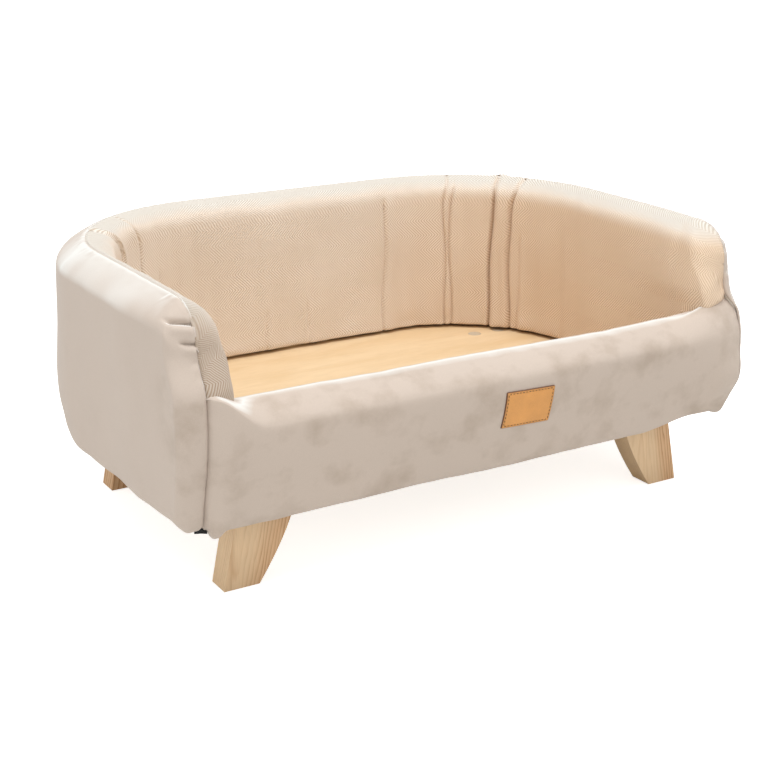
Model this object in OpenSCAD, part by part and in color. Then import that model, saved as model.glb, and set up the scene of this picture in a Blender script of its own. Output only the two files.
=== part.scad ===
// Dog sofa bed: a plywood floor on four pine legs, a padded wall bent round
// three sides of it, and a lower padded rail across the front.
// Millimetres, +Z up, the front rail faces -Y, the origin is on the floor
// under the middle of the bed.

/* [Overall] */
// Width over the outer faces of the two arms
body_w = 736; // [620:2:1000]
// Depth from the belly of the front rail to the back
body_d = 520; // [460:2:760]
// Height of the top seam above the floor
body_h = 316; // [270:1:420]

/* [Padded wall] */
// Thickness of the padded wall
wall_t = 64; // [46:1:80]
// Outer radius of the two rear corners in plan
rear_r = 228; // [150:1:240]
// Radius of the top front corner of an arm, seen from the side
nose_r = 46; // [34:1:70]
// How far back the padding rounds over at the front end of an arm, at its top
nose_round = 34; // [24:1:44]
// The same at the level of the rail, where the cover is pulled square
nose_square = 11; // [8:1:20]
// How far the outer faces swell between their edges
crown = 5; // [1:0.5:8]
// Radius of the rounded bottom edge
hem_r = 14; // [8:1:20]
// Depth of a fold in the lining round a rear corner
crease_deep = 4; // [1:0.5:7]
// Half width of a fold in the lining
crease_w = 7; // [4:1:9]

/* [Front rail] */
// Height of the top of the rail above the floor
rail_top = 213; // [180:1:230]
// Thickness of the rail
rail_t = 56; // [44:1:70]
// How far the middle of the rail swells in front of its ends
rail_belly = 12; // [2:1:20]
// How far the rail's top slopes down to its front edge
rail_drop = 28; // [16:1:34]
// How far the rail's front tucks back from its belly to the bottom edge
rail_tuck = 24; // [4:1:34]
// How far the arm steps back above the rail
arm_back = 18; // [6:1:30]

/* [Floor and legs] */
// Thickness of the plywood floor
board_t = 12; // [9:1:18]
// Height of the underside of the floor above the ground
leg_h = 98; // [70:1:130]
// Thickness of the plank that a leg is cut from
leg_t = 30; // [22:1:36]
// Width of the foot of a leg
foot_w = 40; // [30:1:56]
// How far the outer edge of each foot stands in from the side of the bed
foot_in = 68; // [60:1:120]
// How far a leg leans out from its top to its foot
leg_lean = 20; // [0:1:40]
// Width of the top of a leg
leg_top_w = 66; // [56:1:90]
// How far the front legs stand behind the belly of the rail
front_leg_in = 60; // [57:1:90]
// How far the rear legs stand in front of the back
rear_leg_in = 116; // [100:1:160]

/* [Covers] */
// Thickness of the cover fabric
cloth_t = 1.5; // [0.8:0.1:2.5]
// Width of the hem that turns under the floor
hem_w = 38; // [24:1:44]
// Width of the leather patch
patch_w = 62; // [30:1:90]
// Height of the leather patch
patch_h = 40; // [20:1:50]
// Thickness of the leather patch
patch_t = 1.8; // [1:0.1:3]
// Middle of the patch, to the right of the middle of the rail
patch_x = 35; // [-120:1:120]
// Height of the middle of the patch above the ground
patch_z = 158; // [140:1:170]
// Turn of the patch, clockwise as seen from the front
patch_turn = 1.5; // [0:0.5:6]

/* [Inner frame] */
// Thickness of the stiffening panels inside the padding
panel_t = 4; // [3:0.5:6]
// Height of the wall panels above the floor board
panel_h = 168; // [120:1:176]
// Height of the front panel above the floor board
rail_panel_h = 72; // [50:1:76]
// Width and height of the battens that the panels are pinned to
batten_w = 18; // [14:1:20]
// Width of the hook and loop tape
tape_w = 20; // [14:1:24]

/* [Hidden] */
$fn = 48;

gap = 0.3;               // running clearance between pieces that only touch
over = 1;                // overrun of every cut
foam_in = cloth_t + gap; // how far the foam's surface lies under the cloth's

// Floor board
board_z = leg_h + board_t;
skirt = 6;               // drop of the covers below the floor board
hem_z = leg_h - skirt;
board_in = 7;            // the board's edge behind the cover's outer face

// Plan of the wall's middle surface
side_x = body_w / 2 - crown;
back_y = body_d / 2 - crown;
half_t = wall_t / 2;
mid_r = rear_r - half_t;
corner_x = side_x - rear_r;
corner_y = back_y - rear_r;
belly_y = -body_d / 2;
seam_y = belly_y + rail_belly;
arm_y = seam_y + arm_back;
arm_x = corner_x + mid_r;
bend_len = mid_r * PI / 2;
half_len = corner_x + bend_len + corner_y - arm_y;
fade = 100;              // length of arm over which the lean of its front dies out

// Places of the folds in the lining, as degrees round each rear corner
left_folds = [34, 51];
right_folds = [2, 28, 48];

// Front edge line, as a place in Y for a height
tuck_share = 0.93;
step_h = 50;             // height over which the arm steps back above the rail
lip_rise = 9;            // the step back starts this far over the rail's top
function ease(t) = let(c = max(0, min(1, t))) (1 - cos(180 * c)) / 2;
function rise(z) = max(0, min(1, (z - hem_z) / (rail_top - hem_z) / tuck_share));
function front_y(z) = seam_y + rail_tuck * (1 - sin(90 * rise(z)))
    + arm_back * ease((z - rail_top - lip_rise) / step_h);

function sorted(v) = len(v) < 2 ? v : let(m = v[floor(len(v) / 2)])
    concat(sorted([for (a = v) if (a < m) a]), [m], sorted([for (a = v) if (a > m) a]));

// Stations along the wall, measured from the middle of the back
nose_shares = [0, 0.05, 0.18, 0.45, 1];
nose_stations = [for (s = nose_shares) half_len - nose_round * s];
flat_stations = [half_len - nose_r, half_len - (nose_r + fade) / 2, half_len - fade];
bends = 9;
bend_stations = [for (i = [0 : bends]) corner_x + bend_len * i / bends];
side_stations = concat(nose_stations, flat_stations, bend_stations);
fold_places = concat(
    [for (a = left_folds) -(corner_x + a / 90 * bend_len)],
    [for (a = right_folds) corner_x + a / 90 * bend_len]);
function near_fold(u) = min([for (c = fold_places) abs(c - u)]) < 1.5 * crease_w;
plain_stations = [for (u = concat(side_stations, [0], [for (s = side_stations) -s]))
    if (!near_fold(u)) u];
stations = sorted(concat(plain_stations, [for (c = fold_places) for (k = [-1 : 1]) c + k * crease_w]));

// Place and outward direction of the middle surface at a station
function place(u) = let(a = abs(u), g = sign(u), b = (a - corner_x) / mid_r * 180 / PI)
    a <= corner_x ? [u, back_y - half_t, 0, 1]
    : a <= corner_x + bend_len
        ? [g * (corner_x + mid_r * sin(b)), corner_y + mid_r * cos(b), g * sin(b), cos(b)]
        : [g * arm_x, corner_y - (a - corner_x - bend_len), g, 0];

// How far back the front end rounds over at a height, on the outer face (g = 1)
// and on the inner face (g = -1), which stays square a little higher up
square_rise = [14, 34];
function nose_at(z, g) = nose_square + (nose_round - nose_square)
    * ease((z - rail_top - square_rise[g > 0 ? 0 : 1]) / step_h);

// Distance back from the front end, drawn in by the depth d under the cloth
function from_end(u, d, n) = let(p = half_len - abs(u))
    p < n ? n - (n - p) * (1 - d / n) : p;
slim_share = 0.15;
function end_share(u, n) = let(p = half_len - abs(u))
    p < n ? max(slim_share, sqrt(1 - pow(1 - p / n, 2))) : 1;
function top_z(p, d) = p < nose_r
    ? body_h - nose_r + sqrt(max(0, pow(nose_r - d, 2) - pow(nose_r - p, 2)))
    : body_h - d;
function fold_share(u) = max([for (c = fold_places) max(0, 1 - abs(c - u) / crease_w)]);
function swell(u, z) = crown * sin(180 * (z - hem_z) / (body_h - hem_z)) * end_share(u, nose_round);

// A point of the wall: o is the distance from the middle surface, outwards
function wall_point(u, d, o, z, g) = let(
        q = place(u),
        p0 = half_len - abs(u),
        p = from_end(u, d, nose_at(z, g)),
        lean = (front_y(z) - arm_y) * (1 - ease(p / fade)),
        on_arm = abs(u) > corner_x + bend_len)
    [q[0] + q[2] * o, q[1] + q[3] * o + (on_arm ? p - p0 + lean : 0), z];

// Heights and offsets down one face, from the top seam to the floor board
crest_angles = [0, 14, 30, 50, 72, 90];
side_shares = [0.4, 0.75];
foot_z = board_z + gap;
function face_point(u, d, g, z, r, a) = let(
        e = end_share(u, nose_at(z, g)),
        fold = g < 0 ? crease_deep * fold_share(u) * sin(a) : 0,
        plump = g > 0 ? swell(u, z) : 0)
    wall_point(u, d, g * max(gap / 2, ((r - fold) * e + plump) * sin(a)), z, g);
function face_rows(u, d, g) = let(
        r = half_t - d,
        top = top_z(from_end(u, d, nose_round), d),
        shoulder = top - r)
    concat(
        [for (a = crest_angles) face_point(u, d, g, top - r * (1 - cos(a)), r, a)],
        [for (s = side_shares) face_point(u, d, g, shoulder - (shoulder - foot_z) * s, r, 90)],
        [face_point(u, d, g, foot_z, r, 90)]);

// Rows of the outer cover under the floor board's level, to the edge of the hem
hem_angles = [0, 45, 90];
function hem_rows(u, d) = let(r = hem_r - d, e = end_share(u, nose_square))
    concat(
        [for (a = hem_angles) let(z = hem_z + hem_r - r * sin(a))
            wall_point(u, d, (half_t - hem_r + r * cos(a)) * e + swell(u, z) * cos(a), z, 1)],
        [wall_point(u, d, (half_t - hem_w) * e, hem_z + d, 1)]);

// Solid through a row of closed loops with as many points each
function strip(i, j, n, flip) = [for (k = [0 : n - 1]) let(
        m = (k + 1) % n,
        a = i * n + k,
        b = i * n + m,
        c = j * n + m,
        e = j * n + k)
    each flip ? [[a, b, e], [b, c, e]] : [[a, c, e], [a, b, c]]];
function cap(i, n) = [for (k = [0 : ceil(n / 2) - 2])
    let(a = i * n + k, b = i * n + k + 1, c = i * n + n - 2 - k, e = i * n + n - 1 - k)
        each (c == b ? [[a, b, e]] : [[a, b, c], [a, c, e]])];
module loft(loops) {
    n = len(loops[0]);
    m = len(loops);
    polyhedron(
        points = [for (q = loops) each q],
        faces = concat(
            [for (i = [0 : m - 2]) each strip(i, i + 1, n, i < (m - 1) / 2)],
            [for (f = cap(0, n)) [f[2], f[1], f[0]]],
            cap(m - 1, n)));
}
function reversed(v) = [for (i = [len(v) - 1 : -1 : 0]) v[i]];
function without_first(v) = [for (i = [1 : len(v) - 1]) v[i]];

// Room at the front of each arm for the end of the rail
rail_in_y = belly_y + rail_t;
module rail_room(reach) {
    room_x = arm_x + reach;
    translate([-room_x, belly_y - wall_t, -over])
        cube([2 * room_x, rail_in_y - belly_y + wall_t + gap, rail_end_top + gap + over]);
}

// Rail section at a place along the rail: the top slopes to the front edge, and
// both rise to meet the arms
end_rise = 15;           // rise of the rail's top where it meets an arm
end_drop = 6;            // slope of the top that is left there
rise_len = 44;           // length over which the top rises
belly_len = 24;          // length over which the belly comes forward
rail_hem_w = 24;
rail_half = arm_x - gap;
rail_end_top = rail_top + end_rise;
function near_end(x) = 1 - ease((rail_half - abs(x)) / rise_len);
function rail_crest(x) = rail_top + end_rise * near_end(x);
function rail_front(x, z) = front_y(min(z, rail_top))
    - rail_belly * sin(90 * min(1, (rail_half - abs(x)) / belly_len));
// Across the top from the inner face to the front face: share of the thickness,
// and share of the drop below the crest
rail_shares = [
    [0, 0.57], [0.03, 0.33], [0.1, 0.12], [0.2, 0.02], [0.33, 0], [0.5, 0.06],
    [0.68, 0.2], [0.84, 0.4], [0.94, 0.58], [0.985, 0.74], [1, 0.93]
];
front_shares = [0.33, 0.67];
function shoulder_z(x, d) = let(k = rail_shares[len(rail_shares) - 1][1], q = near_end(x))
    rail_crest(x) - d - k * (rail_drop + (end_drop - rail_drop) * q - d);
function rail_top_rows(x, d) = let(
        q = near_end(x),
        drop = rail_drop + (end_drop - rail_drop) * q - d,
        f = rail_front(x, shoulder_z(x, d)))
    [for (s = rail_shares) [x, rail_in_y - d + (f - rail_in_y + 2 * d) * s[0], rail_crest(x) - d - drop * s[1]]];
function rail_side_rows(x, d) = let(top = shoulder_z(x, d))
    concat(
        [for (s = front_shares) let(z = top - (top - foot_z) * s) [x, rail_front(x, z) + d, z]],
        [[x, rail_front(x, foot_z) + d, foot_z]]);
function rail_hem_rows(x, d) = let(r = hem_r - d)
    concat(
        [for (a = hem_angles) let(z = hem_z + hem_r - r * sin(a))
            [x, rail_front(x, z) + hem_r - r * cos(a), z]],
        [[x, rail_front(x, hem_z) + rail_hem_w, hem_z + d]]);
end_shares = [0, 0.1, 0.3, 0.6, 1];
rail_steps = concat([for (s = end_shares) belly_len * s], [(belly_len + rise_len) / 2, rise_len]);
rail_stations = concat([for (s = rail_steps) rail_half - s], [0], reversed([for (s = rail_steps) s - rail_half]));

module foam_wall() {
    color("khaki")
        difference() {
            loft([for (u = stations)
                concat(face_rows(u, foam_in, 1), reversed(without_first(face_rows(u, foam_in, -1))))]);
            rail_room(0);
            frame_room();
        }
}

module outer_cover() {
    color("rosybrown")
        difference() {
            loft([for (u = stations)
                concat(face_rows(u, 0, 1), hem_rows(u, 0),
                    reversed(concat(face_rows(u, cloth_t, 1), hem_rows(u, cloth_t))))]);
            rail_room(0);
        }
}

module inner_lining() {
    color("burlywood")
        difference() {
            loft([for (u = stations)
                concat(reversed(face_rows(u, 0, -1)), face_rows(u, cloth_t, -1))]);
            rail_room(over);
        }
}

module foam_rail() {
    color("khaki")
        difference() {
            loft([for (x = rail_stations)
                concat([[x, rail_in_y - foam_in, foot_z]], rail_top_rows(x, foam_in), rail_side_rows(x, foam_in))]);
            frame_room();
        }
}

module rail_cover() {
    color("rosybrown")
        loft([for (x = rail_stations)
            concat(
                [[x, rail_in_y, foot_z]], rail_top_rows(x, 0), rail_side_rows(x, 0), rail_hem_rows(x, 0),
                reversed(concat([[x, rail_in_y - cloth_t, foot_z]], rail_top_rows(x, cloth_t),
                    rail_side_rows(x, cloth_t), rail_hem_rows(x, cloth_t))))]);
}

// Leather patch, bent to the front of the rail
patch_steps = 6;
function patch_loop(i) = let(s = i / patch_steps - 1 / 2)
    [for (side = [0, 1]) for (k = [0 : patch_steps]) let(
            t = (side == 0 ? k : patch_steps - k) / patch_steps - 1 / 2,
            x = patch_x + patch_w * s * cos(patch_turn) + patch_h * t * sin(patch_turn),
            z = patch_z - patch_w * s * sin(patch_turn) + patch_h * t * cos(patch_turn))
        [x, rail_front(x, z) - gap - patch_t * side, z]];
module leather_patch() {
    color("peru")
        loft([for (i = [patch_steps : -1 : 0]) patch_loop(i)]);
}

// Plan outline of the floor board, drawn in by d from the covers' outer faces
board_front_r = 30;
module board_plan(d) {
    r = rear_r - d;
    front = seam_y + rail_tuck + d;
    for (g = [-1, 1]) {
        translate([g * corner_x, corner_y])
            intersection() {
                circle(r, $fn = 96);
                translate([-r, 0])
                    square([2 * r, r]);
            }
        translate([g * (corner_x + r - board_front_r), front + board_front_r])
            circle(board_front_r, $fn = 48);
    }
    translate([-corner_x, corner_y])
        square([2 * corner_x, r]);
    translate([-corner_x - r, front + board_front_r])
        square([2 * (corner_x + r), corner_y - front - board_front_r]);
    translate([-corner_x - r + board_front_r, front])
        square([2 * (corner_x + r - board_front_r), board_front_r]);
    bow_x = rail_half - belly_len;
    end_x = corner_x + r - board_front_r;
    polygon([[-end_x, front], [-bow_x, front - rail_belly], [bow_x, front - rail_belly], [end_x, front]]);
}

// Bolts that hold the legs, with flat caps sunk into the floor board
bolt_r = 3;
cap_r = 8.5;
cap_t = 2;
bolt_len = 38;
insert_r = 4.6;
insert_len = 22;
bolt_pitch = 38;
foot_x = body_w / 2 - foot_in;
leg_top_x = foot_x - leg_lean;
bolt_x = leg_top_x - leg_top_w / 2;
leg_ys = [belly_y + front_leg_in + leg_t / 2, body_d / 2 - rear_leg_in - leg_t / 2];
module each_bolt() {
    for (g = [-1, 1])
        for (y = leg_ys)
            for (k = [-1 / 2, 1 / 2])
                translate([g * (bolt_x + k * bolt_pitch), y, 0])
                    children();
}

// Wood screws, up through the floor board into the battens
screw_r = 2;
screw_head_r = 4;
screw_len = 24;
batten_gap = 2;
side_panel_y = rail_in_y + panel_t;
side_panel_len = corner_y - side_panel_y;
back_panel_w = 2 * corner_x;
front_panel_w = 2 * (arm_x - half_t) - wall_t / 2;
front_panel_y = belly_y + rail_t / 2;
screw_in = 24;
side_screw_ys = [side_panel_y + screw_in, (side_panel_y + corner_y) / 2, corner_y - screw_in];
batten_mid_x = arm_x - panel_t / 2 - batten_w / 2;
batten_mid_back = back_y - half_t - panel_t / 2 - batten_w / 2;
batten_mid_front = front_panel_y + panel_t / 2 + batten_w / 2;
module each_batten_screw() {
    for (g = [-1, 1])
        for (y = side_screw_ys)
            translate([g * batten_mid_x, y, 0])
                children();
    for (x = [-1 : 1]) {
        translate([x * (back_panel_w / 2 - screw_in), batten_mid_back, 0])
            children();
        translate([x * (front_panel_w / 2 - screw_in), batten_mid_front, 0])
            children();
    }
}

module base_board() {
    color("wheat")
        difference() {
            translate([0, 0, leg_h])
                linear_extrude(board_t)
                    board_plan(board_in);
            each_bolt() {
                translate([0, 0, leg_h - over])
                    cylinder(r = bolt_r + gap, h = board_t + 2 * over);
                translate([0, 0, board_z - cap_t - gap])
                    cylinder(r = cap_r + gap, h = cap_t + gap + over);
            }
            each_batten_screw() {
                translate([0, 0, leg_h - over])
                    cylinder(r = screw_r + gap, h = board_t + 2 * over);
                translate([0, 0, leg_h - over])
                    cylinder(r = screw_head_r + gap, h = screw_head_r + over);
            }
        }
}

// Side view of a leg, foot to the right: a straight outer edge that leans out
// and an inner edge that bends from upright to slanting
knee_share = 0.62;
knee_in = 4;
bend_steps = 8;
function leg_edge(t) = let(
        a = [leg_top_x - leg_top_w, leg_h],
        b = [leg_top_x - leg_top_w + knee_in, leg_h * knee_share],
        c = [foot_x - foot_w, 0])
    a * pow(1 - t, 2) + 2 * b * t * (1 - t) + c * pow(t, 2);
module leg_profile() {
    polygon(concat(
        [[leg_top_x, leg_h], [foot_x, 0]],
        [for (i = [bend_steps : -1 : 0]) leg_edge(i / bend_steps)]));
}
module leg(g, y) {
    color("tan")
        difference() {
            translate([0, y + leg_t / 2, 0])
                rotate([90, 0, 0])
                    linear_extrude(leg_t)
                        scale([g, 1, 1])
                            leg_profile();
            for (k = [-1 / 2, 1 / 2])
                translate([g * (bolt_x + k * bolt_pitch), y, leg_h - insert_len - gap]) {
                    cylinder(r = insert_r + gap / 2, h = insert_len + gap + over);
                    translate([0, 0, -bolt_len + insert_len + board_t])
                        cylinder(r = bolt_r + gap, h = bolt_len);
                }
        }
}
module leg_front_left() { leg(-1, leg_ys[0]); }
module leg_front_right() { leg(1, leg_ys[0]); }
module leg_rear_left() { leg(-1, leg_ys[1]); }
module leg_rear_right() { leg(1, leg_ys[1]); }

module leg_bolts() {
    color("dimgray")
        each_bolt() {
            translate([0, 0, board_z - cap_t])
                cylinder(r = cap_r, h = cap_t);
            translate([0, 0, board_z - bolt_len])
                cylinder(r = bolt_r, h = bolt_len - cap_t / 2);
        }
}

module leg_inserts() {
    color("goldenrod")
        each_bolt()
            translate([0, 0, leg_h - insert_len])
                difference() {
                    cylinder(r = insert_r, h = insert_len);
                    translate([0, 0, -over])
                        cylinder(r = bolt_r + gap / 2, h = insert_len + 2 * over);
                }
}

// A batten, with a pilot hole where each screw comes up
module batten(size, place, screws) {
    color("tan")
        difference() {
            translate([place[0], place[1], board_z + batten_w / 2])
                cube([size[0], size[1], batten_w], center = true);
            for (s = screws)
                translate([s[0], s[1], board_z - over])
                    cylinder(r = screw_r + gap, h = screw_len - board_t + 2 * over);
            each_side_pin() pin_hole();
            each_back_pin() pin_hole();
            each_front_pin() pin_hole();
        }
}
module side_batten(g) {
    batten(
        [batten_w, side_panel_len],
        [g * batten_mid_x, side_panel_y + side_panel_len / 2],
        [for (y = side_screw_ys) [g * batten_mid_x, y]]);
}
module batten_left() { side_batten(-1); }
module batten_right() { side_batten(1); }
module batten_back() {
    batten([back_panel_w, batten_w], [0, batten_mid_back],
        [for (x = [-1 : 1]) [x * (back_panel_w / 2 - screw_in), batten_mid_back]]);
}
module batten_front() {
    batten([front_panel_w, batten_w], [0, batten_mid_front],
        [for (x = [-1 : 1]) [x * (front_panel_w / 2 - screw_in), batten_mid_front]]);
}

// One wood screw with its countersunk head in the underside of the board
module batten_screws() {
    color("silver")
        each_batten_screw() {
            translate([0, 0, leg_h])
                cylinder(r1 = screw_head_r, r2 = screw_r, h = screw_head_r - screw_r);
            translate([0, 0, leg_h + over])
                cylinder(r = screw_r, h = screw_len - over);
        }
}

// Short screws that hold each panel to its batten
pin_r = 1.5;
pin_head_r = 3;
pin_len = 14;
pin_z = board_z + batten_w / 2;
module each_side_pin() {
    for (g = [-1, 1])
        for (k = [1 / 4, 3 / 4])
            translate([g * (arm_x + panel_t / 2), side_panel_y + side_panel_len * k, pin_z])
                rotate([0, -90 * g, 0])
                    children();
}
module each_back_pin() {
    for (k = [-1 / 4, 1 / 4])
        translate([back_panel_w * k, back_y - half_t + panel_t / 2, pin_z])
            rotate([90, 0, 0])
                children();
}
module each_front_pin() {
    for (k = [-1 / 4, 1 / 4])
        translate([front_panel_w * k, front_panel_y - panel_t / 2, pin_z])
            rotate([-90, 0, 0])
                children();
}
module pin_hole() {
    translate([0, 0, -over])
        cylinder(r = pin_r + gap / 2, h = pin_len + gap + over);
}
module panel_screws() {
    color("silver") {
        each_side_pin() one_pin();
        each_back_pin() one_pin();
        each_front_pin() one_pin();
    }
}
module one_pin() {
    cylinder(r = pin_r, h = pin_len);
    translate([0, 0, -pin_r])
        cylinder(r = pin_head_r, h = pin_r);
}

module panel_left() { side_panel(-1); }
module panel_right() { side_panel(1); }
module side_panel(g) {
    color("sienna")
        difference() {
            translate([g * arm_x, side_panel_y + side_panel_len / 2, board_z + panel_h / 2])
                cube([panel_t, side_panel_len, panel_h], center = true);
            each_side_pin() pin_hole();
        }
}
module panel_back() {
    color("sienna")
        difference() {
            translate([0, back_y - half_t, board_z + panel_h / 2])
                cube([back_panel_w, panel_t, panel_h], center = true);
            each_back_pin() pin_hole();
        }
}
module panel_front() {
    color("sienna")
        difference() {
            translate([0, front_panel_y, board_z + rail_panel_h / 2])
                cube([front_panel_w, panel_t, rail_panel_h], center = true);
            each_front_pin() pin_hole();
        }
}

// Pockets in the foam for the battens, the panels and the screws' heads
module pocket(size, place) {
    translate([place[0] - size[0] / 2 - gap, place[1] - size[1] / 2 - gap, board_z - over])
        cube([size[0] + 2 * gap, size[1] + 2 * gap, size[2] + gap + over]);
}
module frame_room() {
    head = pin_r + gap;
    side_mid = side_panel_y + side_panel_len / 2;
    for (g = [-1, 1]) {
        pocket([panel_t, side_panel_len, panel_h], [g * arm_x, side_mid]);
        pocket([batten_w + panel_t + head, side_panel_len, batten_w],
            [g * (batten_mid_x + panel_t / 2 + head / 2), side_mid]);
    }
    pocket([back_panel_w, panel_t, panel_h], [0, back_y - half_t]);
    pocket([back_panel_w, batten_w + panel_t + head, batten_w],
        [0, batten_mid_back + panel_t / 2 + head / 2]);
    pocket([front_panel_w, panel_t, rail_panel_h], [0, front_panel_y]);
    pocket([front_panel_w, batten_w + panel_t + head, batten_w],
        [0, batten_mid_front - panel_t / 2 - head / 2]);
}

// Hook tape under the board and loop tape on the hem, face to face
tape_t = (skirt - cloth_t) / 2;
rail_tape_w = rail_hem_w - hem_r - 2 * gap;
module tapes() {
    edge = side_x - hem_r - gap;
    side_y = corner_y - tape_w;
    for (g = [-1, 1])
        translate([g * (edge - tape_w / 2), (side_y + rail_in_y) / 2])
            square([tape_w, side_y - rail_in_y], center = true);
    translate([0, back_y - hem_r - gap - tape_w / 2])
        square([2 * corner_x, tape_w], center = true);
    translate([0, seam_y + rail_tuck - rail_belly + hem_r + gap + rail_tape_w / 2])
        square([2 * (rail_half - belly_len), rail_tape_w], center = true);
}
module hook_tape() {
    color("black")
        translate([0, 0, leg_h - tape_t])
            linear_extrude(tape_t)
                tapes();
}
module loop_tape() {
    color("dimgray")
        translate([0, 0, hem_z + cloth_t])
            linear_extrude(tape_t)
                tapes();
}

base_board();
leg_front_left();
leg_front_right();
leg_rear_left();
leg_rear_right();
leg_bolts();
leg_inserts();
batten_front();
batten_back();
batten_left();
batten_right();
batten_screws();
panel_front();
panel_back();
panel_left();
panel_right();
panel_screws();
foam_wall();
foam_rail();
outer_cover();
inner_lining();
rail_cover();
leather_patch();
hook_tape();
loop_tape();
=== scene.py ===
import math
from functools import partial
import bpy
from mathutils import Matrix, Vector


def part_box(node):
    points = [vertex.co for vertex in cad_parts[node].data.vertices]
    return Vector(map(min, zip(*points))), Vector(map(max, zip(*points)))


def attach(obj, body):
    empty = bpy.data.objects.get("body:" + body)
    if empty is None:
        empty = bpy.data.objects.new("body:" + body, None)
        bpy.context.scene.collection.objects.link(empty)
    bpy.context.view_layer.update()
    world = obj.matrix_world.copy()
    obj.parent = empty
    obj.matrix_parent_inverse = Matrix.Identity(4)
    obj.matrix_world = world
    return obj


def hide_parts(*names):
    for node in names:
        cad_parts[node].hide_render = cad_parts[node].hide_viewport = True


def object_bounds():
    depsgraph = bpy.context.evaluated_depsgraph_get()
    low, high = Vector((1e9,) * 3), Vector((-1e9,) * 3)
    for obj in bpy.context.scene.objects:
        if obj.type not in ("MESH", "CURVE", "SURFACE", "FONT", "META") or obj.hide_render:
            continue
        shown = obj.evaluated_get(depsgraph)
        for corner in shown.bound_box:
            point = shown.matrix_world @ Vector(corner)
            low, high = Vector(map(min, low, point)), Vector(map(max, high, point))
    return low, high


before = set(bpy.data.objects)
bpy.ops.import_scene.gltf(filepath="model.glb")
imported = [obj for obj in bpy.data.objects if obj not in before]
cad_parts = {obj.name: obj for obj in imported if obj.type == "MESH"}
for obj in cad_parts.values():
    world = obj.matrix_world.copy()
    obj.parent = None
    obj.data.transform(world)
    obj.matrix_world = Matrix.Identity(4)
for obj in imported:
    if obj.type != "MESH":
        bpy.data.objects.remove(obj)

from types import SimpleNamespace

import bmesh
import bpy
import numpy as np
from mathutils import Vector

bl_info = {
    "name": "Dog sofa bed",
    "version": (1, 0, 0),
    "blender": (4, 5, 0),
    "location": "3D View > Sidebar > Dog sofa bed",
    "description": "Builds the upholstery and finishes of a raised dog sofa bed round its frame",
    "category": "Add Mesh",
}

MM = 0.001
CAD_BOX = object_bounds()
WALL_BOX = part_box("outer_cover")
BOARD_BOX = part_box("base_board")
PATCH_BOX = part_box("leather_patch")
# lining and foam end this far above the floor board, in millimetres
BOARD_GAP = 0.4
# leather patch in millimetres: width, height and corner radius, place to the right of and
# above the middle of its solid, and height of its face above the velvet; degrees clockwise
PATCH_SIZE = (63.5, 42.4, 1.2)
PATCH_SHIFT = (-1.2, -1)
PATCH_HIGH = 1.8
PATCH_TURN = 2.4
# each leg's plank: place of the pith in millimetres outwards from the leg's outer edge and
# forwards from its middle, then the line past which the grain crowds, as a distance from
# the bed's middle, its lean and its softness, and 1 where it crowds outside that line
LEG_PLANKS = {
    "leg_front_left": ((-4, 38), 0.276, 0.344, 0.012, 0),
    "leg_front_right": ((-52, 44), 0.283, 0.204, 0.006, 1),
    "leg_rear_left": ((-58, -40), 0.262, 0.1, 0.014, 1),
    "leg_rear_right": ((6, -46), 0.270, 0.2, 0.016, 0)}
BATTEN_NODES = ("batten_front", "batten_back", "batten_left", "batten_right")
PANEL_NODES = ("panel_front", "panel_back", "panel_left", "panel_right")
# materials made so far
MADE = {}


# ---------------------------------------------------------------- sizes and colours

metres = partial(bpy.props.FloatProperty, unit="LENGTH", precision=4)


class BedShape(bpy.types.PropertyGroup):
    """Sizes of the upholstery, in metres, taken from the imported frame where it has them"""

    body_w: metres(
        name="Width", description="Width over the outer faces of the two arms",
        default=WALL_BOX[1][0] - WALL_BOX[0][0])
    body_h: metres(
        name="Height", description="Height of the top seam above the floor", default=WALL_BOX[1][2])
    wall_t: metres(
        name="Wall thickness", description="Thickness of the padded wall", default=0.064)
    rear_r: metres(
        name="Rear corner", description="Outer radius of the two rear corners in plan", default=0.228)
    nose_r: metres(
        name="Arm corner", description="Radius of the top front corner of an arm, seen from the side",
        default=0.046)
    nose_round: metres(
        name="Arm end, top", description="How far back the arm's end rounds over near its top",
        default=0.034)
    nose_square: metres(
        name="Arm end, low", description="How far back the arm's end rounds over beside the rail",
        default=0.011)
    crown: metres(
        name="Crown", description="How far the outer faces swell between their edges", default=0.005)
    rail_top: metres(
        name="Rail height", description="Height of the top of the front rail above the floor",
        default=0.213)
    rail_t: metres(
        name="Rail thickness", description="Thickness of the front rail", default=0.056)
    rail_belly: metres(
        name="Rail belly", description="How far the rail swells in front of its ends", default=0.012)
    cloth_t: metres(
        name="Cloth", description="Thickness of the cover fabric", default=0.0014)
    seam_deep: metres(
        name="Seam depth", description="How deep the seams draw into the padding", default=0.0023)


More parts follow.
